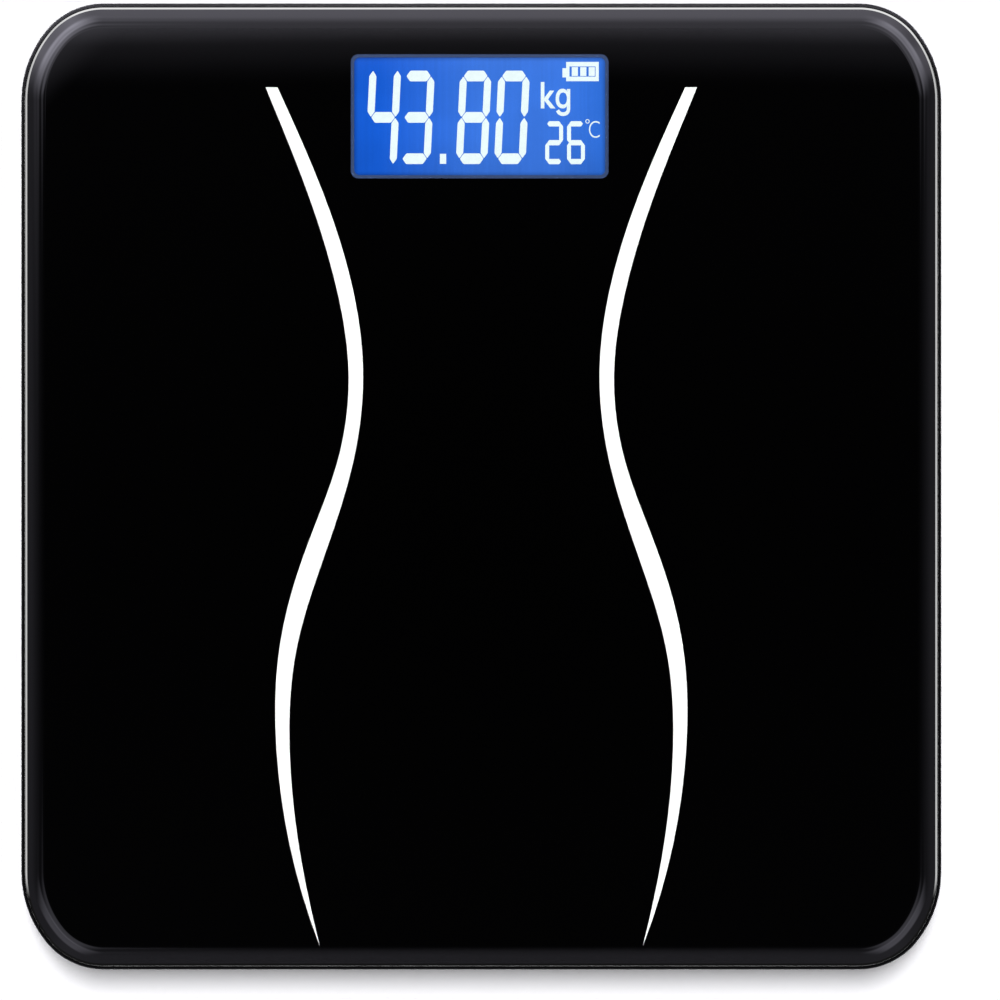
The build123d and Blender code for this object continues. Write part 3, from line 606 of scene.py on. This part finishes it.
def new_object(name: str, shape: Shape, material: bpy.types.Material) -> bpy.types.Object:
    """Turn a finished shape into an object in the scene.

    Args:
        name: The object's name.
        shape: Its mesh, in the frame's axes. It is freed.
        material: What it is made of.

    Returns:
        The object.
    """
    mesh = bpy.data.meshes.new(name)
    shape.to_mesh(mesh)
    shape.free()
    mesh.materials.append(material)
    made = bpy.data.objects.new(name, mesh)
    bpy.context.scene.collection.objects.link(made)
    LOG.info("%s: %d faces", name, len(mesh.polygons))
    return made


class SubAssembly(ABC):
    """Pieces that are built and dressed together."""

    @abstractmethod
    def make(self) -> None:
        """Build the new pieces and dress all of them."""


@dataclass
class GlassPlatform(SubAssembly):
    """The bevelled glass that is stood on, and the print on its back."""

    edge_inset: float = 1.2 * MM
    corner_x: float = 25.0 * MM
    corner_y: float = 29.5 * MM
    corner_tight: float = 22.5 * MM
    land_width: float = 0.12 * MM
    land_angle: float = math.radians(62.0)
    chamfer_width: float = 0.58 * MM
    chamfer_angle: float = math.radians(40.0)
    bevel_width: float = 1.3 * MM
    bevel_angle: float = math.radians(11.0)
    blend_width: float = 4.3 * MM
    blend_steps: int = 20
    holding_width: float = 0.15 * MM
    arris: float = 0.4 * MM
    print_depth: float = 0.1 * MM
    wide_steps: int = 14
    tight_steps: int = 26
    sharp_angle: float = math.radians(15.0)
    black: Colour = (0.0001, 0.0001, 0.0001, 1.0)
    white: Colour = (0.96, 0.965, 0.97, 1.0)

    def make(self) -> None:
        """Build the glass and dress it with the print behind it."""
        glass = new_object("bevelled_glass", self.glass_shape(), ClearGlass("clear_glass").material())
        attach(glass, PLATFORM)
        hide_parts("glass_platform")
        coat(Ink("black_print", self.black), "print_film")
        coat(Ink("white_print", self.white), "waist_stripes")
        coat(Moulding("foam_tape", grain=0.3 * MM, roughness=0.85), "bonding_tape")

    def quarter_outline(self, shape: Shape) -> None:
        """Draw a quarter of the plan, from the right-hand middle to the back middle.

        A wide arc turns out of the long side into a tight one at the corner.

        Args:
            shape: The mesh that takes the line.
        """
        low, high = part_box("glass_platform")
        rise = self.corner_x - self.corner_tight
        run_squares = self.corner_x**2 + self.corner_y**2 - 2 * self.corner_y * self.corner_tight
        corner_wide = run_squares / (2 * rise)
        turn = math.atan2(self.corner_y - self.corner_tight, corner_wide - self.corner_x)
        side = high.x + self.edge_inset
        end = high.y + self.edge_inset
        wide_centre = Vector((side - corner_wide, end - self.corner_y, 0))
        tight_centre = Vector((side - self.corner_x, end - self.corner_tight, 0))
        start = bmesh.ops.create_vert(shape, co=(high.x, 0, low.z))["vert"]
        line_end = bmesh.ops.extrude_vert_indiv(shape, verts=start)["verts"]
        bmesh.ops.translate(shape, verts=line_end, vec=(0, wide_centre.y, 0))
        turns = ((wide_centre, turn, self.wide_steps), (tight_centre, math.pi / 2 - turn, self.tight_steps))
        for centre, angle, steps in turns:
            arc = bmesh.ops.spin(shape, geom=line_end, cent=centre, axis=(0, 0, 1), angle=angle, steps=steps)
            line_end = [item for item in arc["geom_last"] if isinstance(item, bmesh.types.BMVert)]
        last = bmesh.ops.extrude_vert_indiv(shape, verts=line_end)["verts"]
        bmesh.ops.translate(shape, verts=last, vec=(-last[0].co.x, 0, 0))

    def edge_steps(self) -> list[tuple[float, float]]:
        """Work out the top edge's profile from the outside in.

        Returns:
            Width and rise of each step: a steep land, chamfer, bevel, the blend into the flat, and
            a narrow level border that keeps the flat's shading level.
        """
        slopes = (
            (self.land_width, self.land_angle),
            (self.chamfer_width, self.chamfer_angle),
            (self.bevel_width, self.bevel_angle),
        )
        steps = [(width, width * math.tan(angle)) for width, angle in slopes]
        radius = self.blend_width / math.sin(self.bevel_angle)
        turns = [self.bevel_angle * (1 - step / self.blend_steps) for step in range(self.blend_steps + 1)]
        for before, after in zip(turns, turns[1:]):
            width = radius * (math.sin(before) - math.sin(after))
            steps.append((width, radius * (math.cos(after) - math.cos(before))))
        return steps + [(self.holding_width, 0.0)]

    def glass_shape(self) -> Shape:
        """Build the glass, whose lower face lies in the thickness of the print.

        Returns:
            The closed shape.
        """
        low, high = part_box("glass_platform")
        shape = bmesh.new()
        self.quarter_outline(shape)
        for axis in "XY":
            geometry = shape.verts[:] + shape.edges[:]
            bmesh.ops.mirror(shape, geom=geometry, matrix=Matrix.Identity(4), merge_dist=WELD, axis=axis)
        lower = bmesh.ops.contextual_create(shape, geom=shape.edges[:])["faces"][0]
        steps = self.edge_steps()
        lowest = low.z - self.print_depth
        wall_top = high.z - sum(rise for _, rise in steps)
        raised = bmesh.ops.extrude_face_region(shape, geom=[lower], use_keep_orig=True)["geom"]
        upper = next(item for item in raised if isinstance(item, bmesh.types.BMFace))
        bmesh.ops.translate(shape, verts=lower.verts, vec=(0, 0, lowest + self.arris - low.z))
        bmesh.ops.translate(shape, verts=upper.verts, vec=(0, 0, wall_top - low.z))
        bmesh.ops.recalc_face_normals(shape, faces=shape.faces[:])
        for width, rise in steps:
            bmesh.ops.inset_region(shape, faces=[upper], thickness=width, depth=rise, **EVEN)
        bmesh.ops.inset_region(shape, faces=[lower], thickness=self.arris, depth=self.arris, **EVEN)
        for face in shape.faces:
            face.smooth = True
        for edge in shape.edges:
            edge.smooth = edge.calc_face_angle() < self.sharp_angle
        return shape


class Bar(Enum):
    """The seven bars of a digit, each from one end to the other, as column and row."""

    TOP = ((-1, 1), (1, 1))
    MIDDLE = ((-1, 0), (1, 0))
    FOOT = ((-1, -1), (1, -1))
    UPPER_LEFT = ((-1, 0), (-1, 1))
    UPPER_RIGHT = ((1, 0), (1, 1))
    LOWER_LEFT = ((-1, -1), (-1, 0))
    LOWER_RIGHT = ((1, -1), (1, 0))


UNLIT_BARS = {
    "0": {Bar.MIDDLE},
    "2": {Bar.UPPER_LEFT, Bar.LOWER_RIGHT},
    "3": {Bar.UPPER_LEFT, Bar.LOWER_LEFT},
    "4": {Bar.TOP, Bar.LOWER_LEFT, Bar.FOOT},
    "6": {Bar.UPPER_RIGHT},
    "8": set(),
}


@dataclass(frozen=True)
class BarStyle:
    """How thick a digit's bars are, how long their tips, and how far a free end runs on."""

    thick: float
    tip: float
    run_on: float


@dataclass(frozen=True)
class DigitStyle:
    """Sizes of one set of seven-bar digits, from the middle of the display window."""

    half_width: float
    middle: float
    row: float
    level: BarStyle
    upright: BarStyle
    gap: float
    rounding: float
    slant: float

    def draw(self, shape: Shape, digit: str, centre: float) -> None:
        """Draw one digit flat.

        Args:
            shape: The mesh that takes it.
            digit: Which digit.
            centre: Its middle, across the window.
        """
        lit = [bar for bar in Bar if bar not in UNLIT_BARS[digit]]
        made = []
        for bar in lit:
            made += self.draw_bar(shape, bar, lit)
        lean = Matrix.Identity(4)
        lean[0][1] = math.tan(self.slant)
        bmesh.ops.transform(shape, matrix=Matrix.Translation((centre, self.middle, 0)) @ lean, verts=made)

    def draw_bar(self, shape: Shape, bar: Bar, lit: list[Bar]) -> list[bmesh.types.BMVert]:
        """Draw one bar as a long hexagon, from the middle of the digit.

        An end that meets a lit bar stops short of it, and a free end may run on past the meeting place.

        Args:
            shape: The mesh that takes it.
            bar: Which bar.
            lit: All the digit's lit bars.

        Returns:
            The points of the bar's outline.
        """
        (first_column, first_row), (_, last_row) = bar.value
        level = first_row == last_row
        style = self.level if level else self.upright
        ends = []
        for meeting, outward in zip(bar.value, (-1, 1)):
            column, row = meeting
            place = column * self.half_width if level else row * self.row
            met = any(meeting in rival.value for rival in lit if rival is not bar)
            ends.append(place + outward * (-self.gap if met else style.run_on))
        corners = bmesh.ops.create_circle(shape, cap_ends=True, segments=6, radius=1.0)["verts"]
        for corner in corners:
            end = ends[corner.co.y > 0]
            shoulder = abs(corner.co.x) > 0.1
            along = end - math.copysign(style.tip, corner.co.y) * shoulder
            aside = math.copysign(style.thick / 2, corner.co.x) * shoulder
            if level:
                corner.co = (along, first_row * self.row - aside, 0)
            else:
                corner.co = (first_column * self.half_width + aside, along, 0)
        soften = {"affect": "VERTICES", "segments": 3, "profile": 0.5, "material": -1}
        return bmesh.ops.bevel(shape, geom=corners, offset=self.rounding, **soften)["verts"]


@dataclass(frozen=True)
class Box:
    """An upright rectangle on the display, from the middle of its window."""

    left: float
    right: float
    foot: float
    top: float

    def draw(self, shape: Shape) -> list[bmesh.types.BMFace]:
        """Draw the rectangle flat.

        Args:
            shape: The mesh that takes it.

        Returns:
            Its one face, in a list.
        """
        corners = bmesh.ops.create_grid(shape, x_segments=1, y_segments=1, size=0.5)["verts"]
        bmesh.ops.scale(shape, vec=(self.right - self.left, self.top - self.foot, 1), verts=corners)
        middle = ((self.left + self.right) / 2, (self.foot + self.top) / 2, 0)
        bmesh.ops.translate(shape, vec=middle, verts=corners)
        return list({face for corner in corners for face in corner.link_faces})


@dataclass(frozen=True)
class Letter:
    """A letter or sign on the display, drawn to fill a box."""

    sign: str
    box: Box
    weight: float
    curve_steps: int = 6

    def draw(self, shape: Shape) -> None:
        """Draw the letter flat.

        Args:
            shape: The mesh that takes it.
        """
        text = bpy.data.curves.new(f"letter_{ord(self.sign)}", "FONT")
        text.body = self.sign
        text.offset = self.weight
        text.resolution_u = self.curve_steps
        carrier = bpy.data.objects.new(text.name, text)
        mesh = bpy.data.meshes.new_from_object(carrier)
        bpy.data.objects.remove(carrier)
        before = set(shape.verts)
        shape.from_mesh(mesh)
        bpy.data.meshes.remove(mesh)
        corners = [vert for vert in shape.verts if vert not in before]
        low = Vector((min(v.co.x for v in corners), min(v.co.y for v in corners), 0))
        high = Vector((max(v.co.x for v in corners), max(v.co.y for v in corners), 0))
        width, height = self.box.right - self.box.left, self.box.top - self.box.foot
        bmesh.ops.translate(shape, vec=-low, verts=corners)
        bmesh.ops.scale(shape, vec=(width / (high.x - low.x), height / (high.y - low.y), 1), verts=corners)
        bmesh.ops.translate(shape, vec=(self.box.left, self.box.foot, 0), verts=corners)
        bmesh.ops.remove_doubles(shape, verts=corners, dist=WELD)


@dataclass
class Display(SubAssembly):
    """The lit panel with its white segments, in its frame."""

    weight_style: DigitStyle = DigitStyle(
        half_width=3.73 * MM,
        middle=-0.28 * MM,
        row=12.6 * MM,
        level=BarStyle(3.25 * MM, 1.15 * MM, 0.05 * MM),
        upright=BarStyle(2.15 * MM, 1.6 * MM, 1.6 * MM),
        gap=0.12 * MM,
        rounding=0.3 * MM,
        slant=math.radians(2.8),
    )
    heat_style: DigitStyle = DigitStyle(
        half_width=2.12 * MM,
        middle=-8.0 * MM,
        row=5.75 * MM,
        level=BarStyle(1.6 * MM, 0.6 * MM, 0.0),
        upright=BarStyle(1.2 * MM, 0.8 * MM, 0.8 * MM),
        gap=0.0,
        rounding=0.15 * MM,
        slant=0.0,
    )
    weight: Digits = (("4", -29.45 * MM), ("3", -19.15 * MM), ("8", -1.83 * MM), ("0", 9.85 * MM))
    heat: Digits = (("2", 22.7 * MM), ("6", 29.35 * MM))
    point: Box = Box(-12.13 * MM, -10.21 * MM, -14.44 * MM, -11.4 * MM)
    letters: tuple[Letter, ...] = (
        Letter("k", Box(18.62 * MM, 23.1 * MM, 2.45 * MM, 10.5 * MM), 0.016),
        Letter("\u0261", Box(23.15 * MM, 27.6 * MM, 0.15 * MM, 8.45 * MM), 0.016),
        Letter("C", Box(33.3 * MM, 36.6 * MM, -6.5 * MM, -1.4 * MM), -0.016),
        Letter("o", Box(32.2 * MM, 33.5 * MM, -2.15 * MM, -0.85 * MM), 0.0),
    )
    charge_case: Box = Box(26.36 * MM, 36.3 * MM, 10.75 * MM, 16.62 * MM)
    charge_nub: Box = Box(25.23 * MM, 26.4 * MM, 11.9 * MM, 14.7 * MM)
    charge_wall: float = 1.0 * MM
    charge_room: float = 3.1 * MM
    charge_gap: float = 0.7 * MM
    charge_end_gap: float = 0.2 * MM
    charge_bars: int = 3
    raised: float = 0.06 * MM

    def make(self) -> None:
        """Build the segments and dress the display."""
        white = LitSegment("blue_display").material()
        segments = new_object("display_segments", self.segment_shape(), white)
        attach(segments, PLATFORM)
        coat(LitPanel("blue_display"), "lcd_panel")
        coat(Moulding("grey_moulding", spread=0.2, roughness=0.55, shine=0.02), "lcd_frame")
        coat(DottedSheet("light_guide"), "backlight_panel")
        coat(SmoothSkin("lamp", spread=0.1), "backlight_lamps")
        coat(Moulding("contact_rubber", roughness=0.7), "contact_strip")

    def draw_charge(self, shape: Shape) -> None:
        """Draw the sign of a full battery.

        Args:
            shape: The mesh that takes it.
        """
        case, wall = self.charge_case, self.charge_wall
        self.charge_nub.draw(shape)
        inner = case.draw(shape)
        bmesh.ops.inset_region(shape, faces=inner, thickness=wall, **EVEN)
        middle = (case.foot + case.top) / 2
        squeeze = (1, self.charge_room / (case.top - case.foot - 2 * wall), 1)
        centred = Matrix.Translation((0, -middle, 0))
        bmesh.ops.scale(shape, vec=squeeze, space=centred, verts=inner[0].verts)
        bmesh.ops.delete(shape, geom=inner, context="FACES_ONLY")
        pitch = (case.right - case.left - 2 * wall - self.charge_end_gap) / self.charge_bars
        foot = middle - self.charge_room / 2 + self.charge_end_gap
        top = middle + self.charge_room / 2 - self.charge_end_gap
        for step in range(self.charge_bars):
            left = case.left + wall + self.charge_gap + step * pitch
            Box(left, left + pitch - self.charge_gap, foot, top).draw(shape)

    def segment_shape(self) -> Shape:
        """Build every lit segment as a thin plate on the panel.

        Returns:
            The closed shapes, in one mesh.
        """
        shape = bmesh.new()
        for style, digits in ((self.weight_style, self.weight), (self.heat_style, self.heat)):
            for digit, centre in digits:
                style.draw(shape, digit, centre)
        self.point.draw(shape)
        self.draw_charge(shape)
        for letter in self.letters:
            letter.draw(shape)
        low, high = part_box("lcd_panel")
        middle = (low + high) / 2
        bmesh.ops.recalc_face_normals(shape, faces=shape.faces[:])
        raised = bmesh.ops.extrude_face_region(shape, geom=shape.faces[:], use_keep_orig=True)["geom"]
        tops = [item for item in raised if isinstance(item, bmesh.types.BMVert)]
        bmesh.ops.translate(shape, vec=(0, 0, self.raised), verts=tops)
        bmesh.ops.translate(shape, vec=(middle.x, middle.y, high.z), verts=shape.verts[:])
        bmesh.ops.recalc_face_normals(shape, faces=shape.faces[:])
        return shape


# The tray's rim, 17 to 20 mm up, is polished and its colour is darkened with painted shade.
TRAY_RIM = (17.0 * MM, 20.0 * MM)
BLACK_MOULDING = Moulding("black_moulding", grain=0.55 * MM, depth=0.05 * MM, rim=TRAY_RIM)
SCREW_STEEL = BrushedMetal("screw_steel", stretch=(700.0, 700.0, 3000.0), roughness=0.28)


class Tray(SubAssembly):
    """The moulded tray under the glass."""

    def make(self) -> None:
        """Dress the tray and the wires that run in it."""
        coat(BLACK_MOULDING, "base_tray")
        coat(SmoothSkin("wire_cover", roughness=0.45, spread=0.12), "cell_wires")


@dataclass
class WeighingCorner(SubAssembly):
    """One corner's load cell with its foot."""

    corner: str

    def make(self) -> None:
        """Dress the load cell, the foot, its pad and its nut."""
        coat(BrushedMetal("cell_steel"), f"load_cell_{self.corner}")
        coat(Moulding("foot_moulding", grain=0.4 * MM, roughness=0.48), f"foot_{self.corner}")
        coat(
            Moulding("pad_rubber", grain=0.9 * MM, depth=0.08 * MM, spread=0.5, roughness=0.82, shine=0.3),
            f"foot_pad_{self.corner}",
        )
        coat(BrushedMetal("nut_steel", stretch=(900.0, 900.0, 60.0)), f"foot_nut_{self.corner}")


class CornerFixings(SubAssembly):
    """What holds the four load cells and reads them."""

    def make(self) -> None:
        """Dress the gauges, the retainers and their screws."""
        coat(DottedSheet("gauge_foil", dots=(0.75, 0.5, 0.2, 1.0), pitch=0.4 * MM), "strain_gauges")
        coat(Moulding("retainer", roughness=0.5), "cell_retainers")
        coat(SCREW_STEEL, "retainer_screws")


class Electronics(SubAssembly):
    """The circuit board and what is soldered to it."""

    def make(self) -> None:
        """Dress the board, its screws and its parts."""
        coat(SolderMask("board"), "circuit_board")
        coat(SCREW_STEEL, "board_screws")
        coat(SmoothSkin("resin", roughness=0.2, lumps=240.0), "controller_chip")
        coat(SmoothSkin("bead", roughness=0.15), "thermistor")
        coat(Moulding("switch_body", roughness=0.4), "switch_housing")


class UnitKey(SubAssembly):
    """The key under the scale that changes the unit."""

    def make(self) -> None:
        """Dress the key and the stem that it presses."""
        coat(Moulding("grey_key", grain=0.3 * MM, spread=0.15, roughness=0.45), "unit_button")
        coat(Moulding("switch_stem", spread=0.1, roughness=0.4), "switch_plunger")


class BatteryBay(SubAssembly):
    """The batteries, their contacts and leads, and the door over them."""

    def make(self) -> None:
        """Dress the bay."""
        coat(BLACK_MOULDING, "battery_door")
        coat(CellJacket("battery_can"), "batteries")
        coat(BrushedMetal("contact_metal", roughness=0.2), "battery_contacts")
        coat(SmoothSkin("lead_cover", roughness=0.45, spread=0.15), "battery_leads")


@dataclass(frozen=True)
class SoftBox:
    """A soft-edged patch of light in the sky, with angles in degrees."""

    azimuth: float
    from_zenith: float
    half_width: float
    half_height: float
    blur: float
    radiance: float
    side_blur: float = 0.0

    def light(self, graph: Graph, direction: Socket) -> Socket:
        """Work out the patch's light in a direction.

        Args:
            graph: The world's graph.
            direction: The direction that is looked in.

        Returns:
            The radiance there.
        """
        around, tilt = math.radians(self.azimuth), math.radians(self.from_zenith)
        flat = Vector((math.cos(around), math.sin(around), 0))
        facing = flat * math.sin(tilt) + Vector((0, 0, math.cos(tilt)))
        outward = flat * math.cos(tilt) - Vector((0, 0, math.sin(tilt)))
        sideways = Vector((-flat.y, flat.x, 0))
        light = graph.math("GREATER_THAN", self.along(graph, direction, facing), 0.0)
        width = (sideways, self.half_width, self.blur + self.side_blur)
        for axis, half, blur in (width, (outward, self.half_height, self.blur)):
            reach = graph.math("ABSOLUTE", self.along(graph, direction, axis))
            start, stop = (math.sin(math.radians(min(angle, 90.0))) for angle in (half, half + blur))
            light = graph.product(light, graph.remap(reach, start, stop, 1.0, 0.0))
        return graph.product(light, self.radiance)

    def along(self, graph: Graph, direction: Socket, axis: Vector) -> Socket:
        """Return how far a direction points along an axis."""
        feeds = {0: direction, 1: tuple(axis)}
        return graph.add("VectorMath", feeds, operation="DOT_PRODUCT").outputs["Value"]


@dataclass
class Studio:
    """Camera, light and floor."""

    lens: float = 200.0
    sensor: float = 36.0
    metres_across: float = 0.30428
    centre: tuple[float, float] = (5.69 * MM, -4.11 * MM)
    floor_reach: float = 30.0
    floor_colour: Colour = (0.76, 0.756, 0.78, 1.0)
    floor_glow: float = 0.03
    key: SoftBox = SoftBox(90.0, 12.0, 1.5, 9.5, 4.0, 76.0)
    dome: Spans = ((0.0, 0.9), (0.5, 0.85), (0.75, 0.5), (0.946, 0.28), (0.985, 0.085), (1.0, 0.008))
    dome_share: float = 0.6
    cards: tuple[SoftBox, ...] = (
        # At the back and in front.
        SoftBox(90.0, 17.6, 5.5, 12.65, 0.27, 0.51, 8.0),
        SoftBox(90.0, 17.6, 5.5, 12.6, 0.75, 0.24, 8.0),
        SoftBox(270.0, 18.0, 14.0, 2.0, 10.0, 0.13),
        SoftBox(90.0, 27.0, 12.0, 4.0, 12.0, 1.0),
        # Back left corner.
        SoftBox(135.0, 12.3, 0.3, 5.7, 0.5, 0.3, 1.0),
        SoftBox(135.0, 13.0, 1.0, 2.0, 3.0, 1.9, 2.0),
        SoftBox(135.0, 19.0, 3.0, 2.5, 4.0, 3.6, 3.0),
        SoftBox(135.0, 29.0, 5.0, 7.0, 6.0, 2.1, 3.0),
        SoftBox(155.0, 25.0, 2.0, 6.0, 6.0, 0.3),
        # Back right corner.
        SoftBox(45.0, 13.0, 1.2, 2.5, 2.5, 0.7, 2.0),
        SoftBox(45.0, 19.0, 3.5, 3.0, 3.0, 2.6, 3.0),
        SoftBox(45.0, 29.0, 6.0, 7.0, 6.0, 1.0, 2.0),
        SoftBox(28.0, 24.0, 2.0, 7.0, 3.0, 0.45),
        # Front corners.
        SoftBox(225.0, 12.5, 1.2, 2.5, 2.0, 0.7, 2.5),
        SoftBox(225.0, 19.0, 3.5, 3.0, 3.0, 0.9, 3.5),
        SoftBox(315.0, 13.0, 1.2, 2.0, 2.0, 0.75, 2.5),
        SoftBox(315.0, 19.0, 3.5, 2.6, 3.0, 1.05, 3.5),
    )
    edge_light: float = 9.0
    back_light: float = 5.0
    edge_shade: float = -0.65
    strip_foot: Span = (0.045, 0.065)
    strip_top: Span = (0.12, 0.14)
    strip_front: Span = (-0.3, -0.08)
    strip_back: Span = (0.3, 0.8)
    tint_foot: Span = (0.2, 0.5)
    gloss_tint: Colour = (1.0, 0.975, 1.15, 1.0)

    def make(self) -> None:
        """Set up the camera, the sky and the floor."""
        bpy.context.scene.view_settings.view_transform = "Standard"
        self.set_camera()
        self.light_sky()
        self.lay_floor()

    def set_camera(self) -> None:
        """Look straight down from where the platform's edge fills the picture as it should."""
        data = bpy.data.cameras.new("overhead_camera")
        data.lens = self.lens
        data.sensor_width = self.sensor
        camera = bpy.data.objects.new("overhead_camera", data)
        rim_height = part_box("base_tray")[1].z
        distance = self.metres_across * self.lens / self.sensor
        camera.location = (*self.centre, rim_height + distance)
        bpy.context.scene.collection.objects.link(camera)
        bpy.context.scene.camera = camera

    def edge_strip(self, graph: Graph, direction: Socket) -> Socket:
        """Light a low strip at the back and both sides, and shade it in front.

        The glass's ground edge mirrors it.

        Args:
            graph: The world's graph.
            direction: The direction that is looked in.

        Returns:
            The radiance there.
        """
        _, back, up = graph.axes(direction)
        lower = graph.remap(up, *self.strip_foot)
        upper = graph.remap(up, *self.strip_top, 1.0, 0.0)
        level = graph.remap(back, *self.strip_front, self.edge_shade, self.edge_light)
        level = graph.math("ADD", level, graph.remap(back, *self.strip_back, 0.0, self.back_light))
        return graph.product(lower, upper, level)

    def light_sky(self) -> None:
        """Build the sky: a soft dome, a key light at the back, and cards that only gloss sees."""
        world = bpy.data.worlds.new("soft_sky")
        bpy.context.scene.world = world
        world.use_nodes = True
        graph = Graph(world.node_tree)
        direction = graph.add("TexCoord").outputs["Generated"]
        up = graph.axes(direction)[2]
        place = graph.add("MapRange", {0: up, 1: -1.0, 2: 1.0}).outputs[0]
        dome = graph.ramp(place, [(stop, (level, level, level, 1.0)) for stop, level in self.dome])
        gloss = self.edge_strip(graph, direction)
        for card in self.cards:
            gloss = graph.math("ADD", gloss, card.light(graph, direction))
        mirrored = graph.math("ADD", dome, gloss)
        lamp = graph.math("MULTIPLY_ADD", dome, self.dome_share, self.key.light(graph, direction))
        path = graph.add("LightPath").outputs
        sharp = graph.math("MAXIMUM", path["Is Glossy Ray"], path["Is Transmission Ray"])
        level = graph.add("Mix", {0: sharp, 2: lamp, 3: mirrored}).outputs[0]
        shown = graph.add("Mix", {0: path["Is Camera Ray"], 2: level, 3: 1.0}).outputs[0]
        tinted = graph.product(sharp, graph.remap(up, *self.tint_foot))
        colour = graph.mix(tinted, WHITE, self.gloss_tint)
        graph.fill(world.node_tree.nodes["Background"], {"Color": colour, "Strength": shown})

    def lay_floor(self) -> None:
        """Lay a pale floor that keeps the shadow and is not there from below."""
        shape = bmesh.new()
        bmesh.ops.create_grid(shape, x_segments=1, y_segments=1, size=self.floor_reach)
        material = bpy.data.materials.new("pale_floor")
        material.use_nodes = True
        graph = Graph(material.node_tree)
        graph.tree.nodes.remove(graph.tree.nodes["Principled BSDF"])
        path = graph.add("LightPath").outputs
        sight = graph.math("MAXIMUM", path["Is Camera Ray"], path["Is Glossy Ray"])
        sight = graph.math("MAXIMUM", sight, path["Is Transmission Ray"])
        from_above = graph.math("SUBTRACT", 1.0, graph.add("NewGeometry").outputs["Backfacing"])
        glow = graph.add("Emission", {"Color": WHITE, "Strength": self.floor_glow})
        matt = graph.add("BsdfDiffuse", {"Color": self.floor_colour})
        surface = graph.add("AddShader", {0: glow.outputs[0], 1: matt.outputs[0]})
        graph.blend(graph.product(sight, from_above), graph.add("BsdfTransparent"), surface)
        floor = new_object("floor", shape, material)


def main() -> None:
    """Build and dress the scale, sub-assembly by sub-assembly, then the studio round it."""
    logging.basicConfig(level=logging.INFO, format="%(message)s")
    single = (GlassPlatform, Display, Tray, CornerFixings, Electronics, UnitKey, BatteryBay)
    assemblies = [kind() for kind in single]
    assemblies += [WeighingCorner(corner) for corner in ("fl", "fr", "bl", "br")]
    for assembly in assemblies:
        assembly.make()
    Studio().make()


if __name__ == "__main__":
    main()
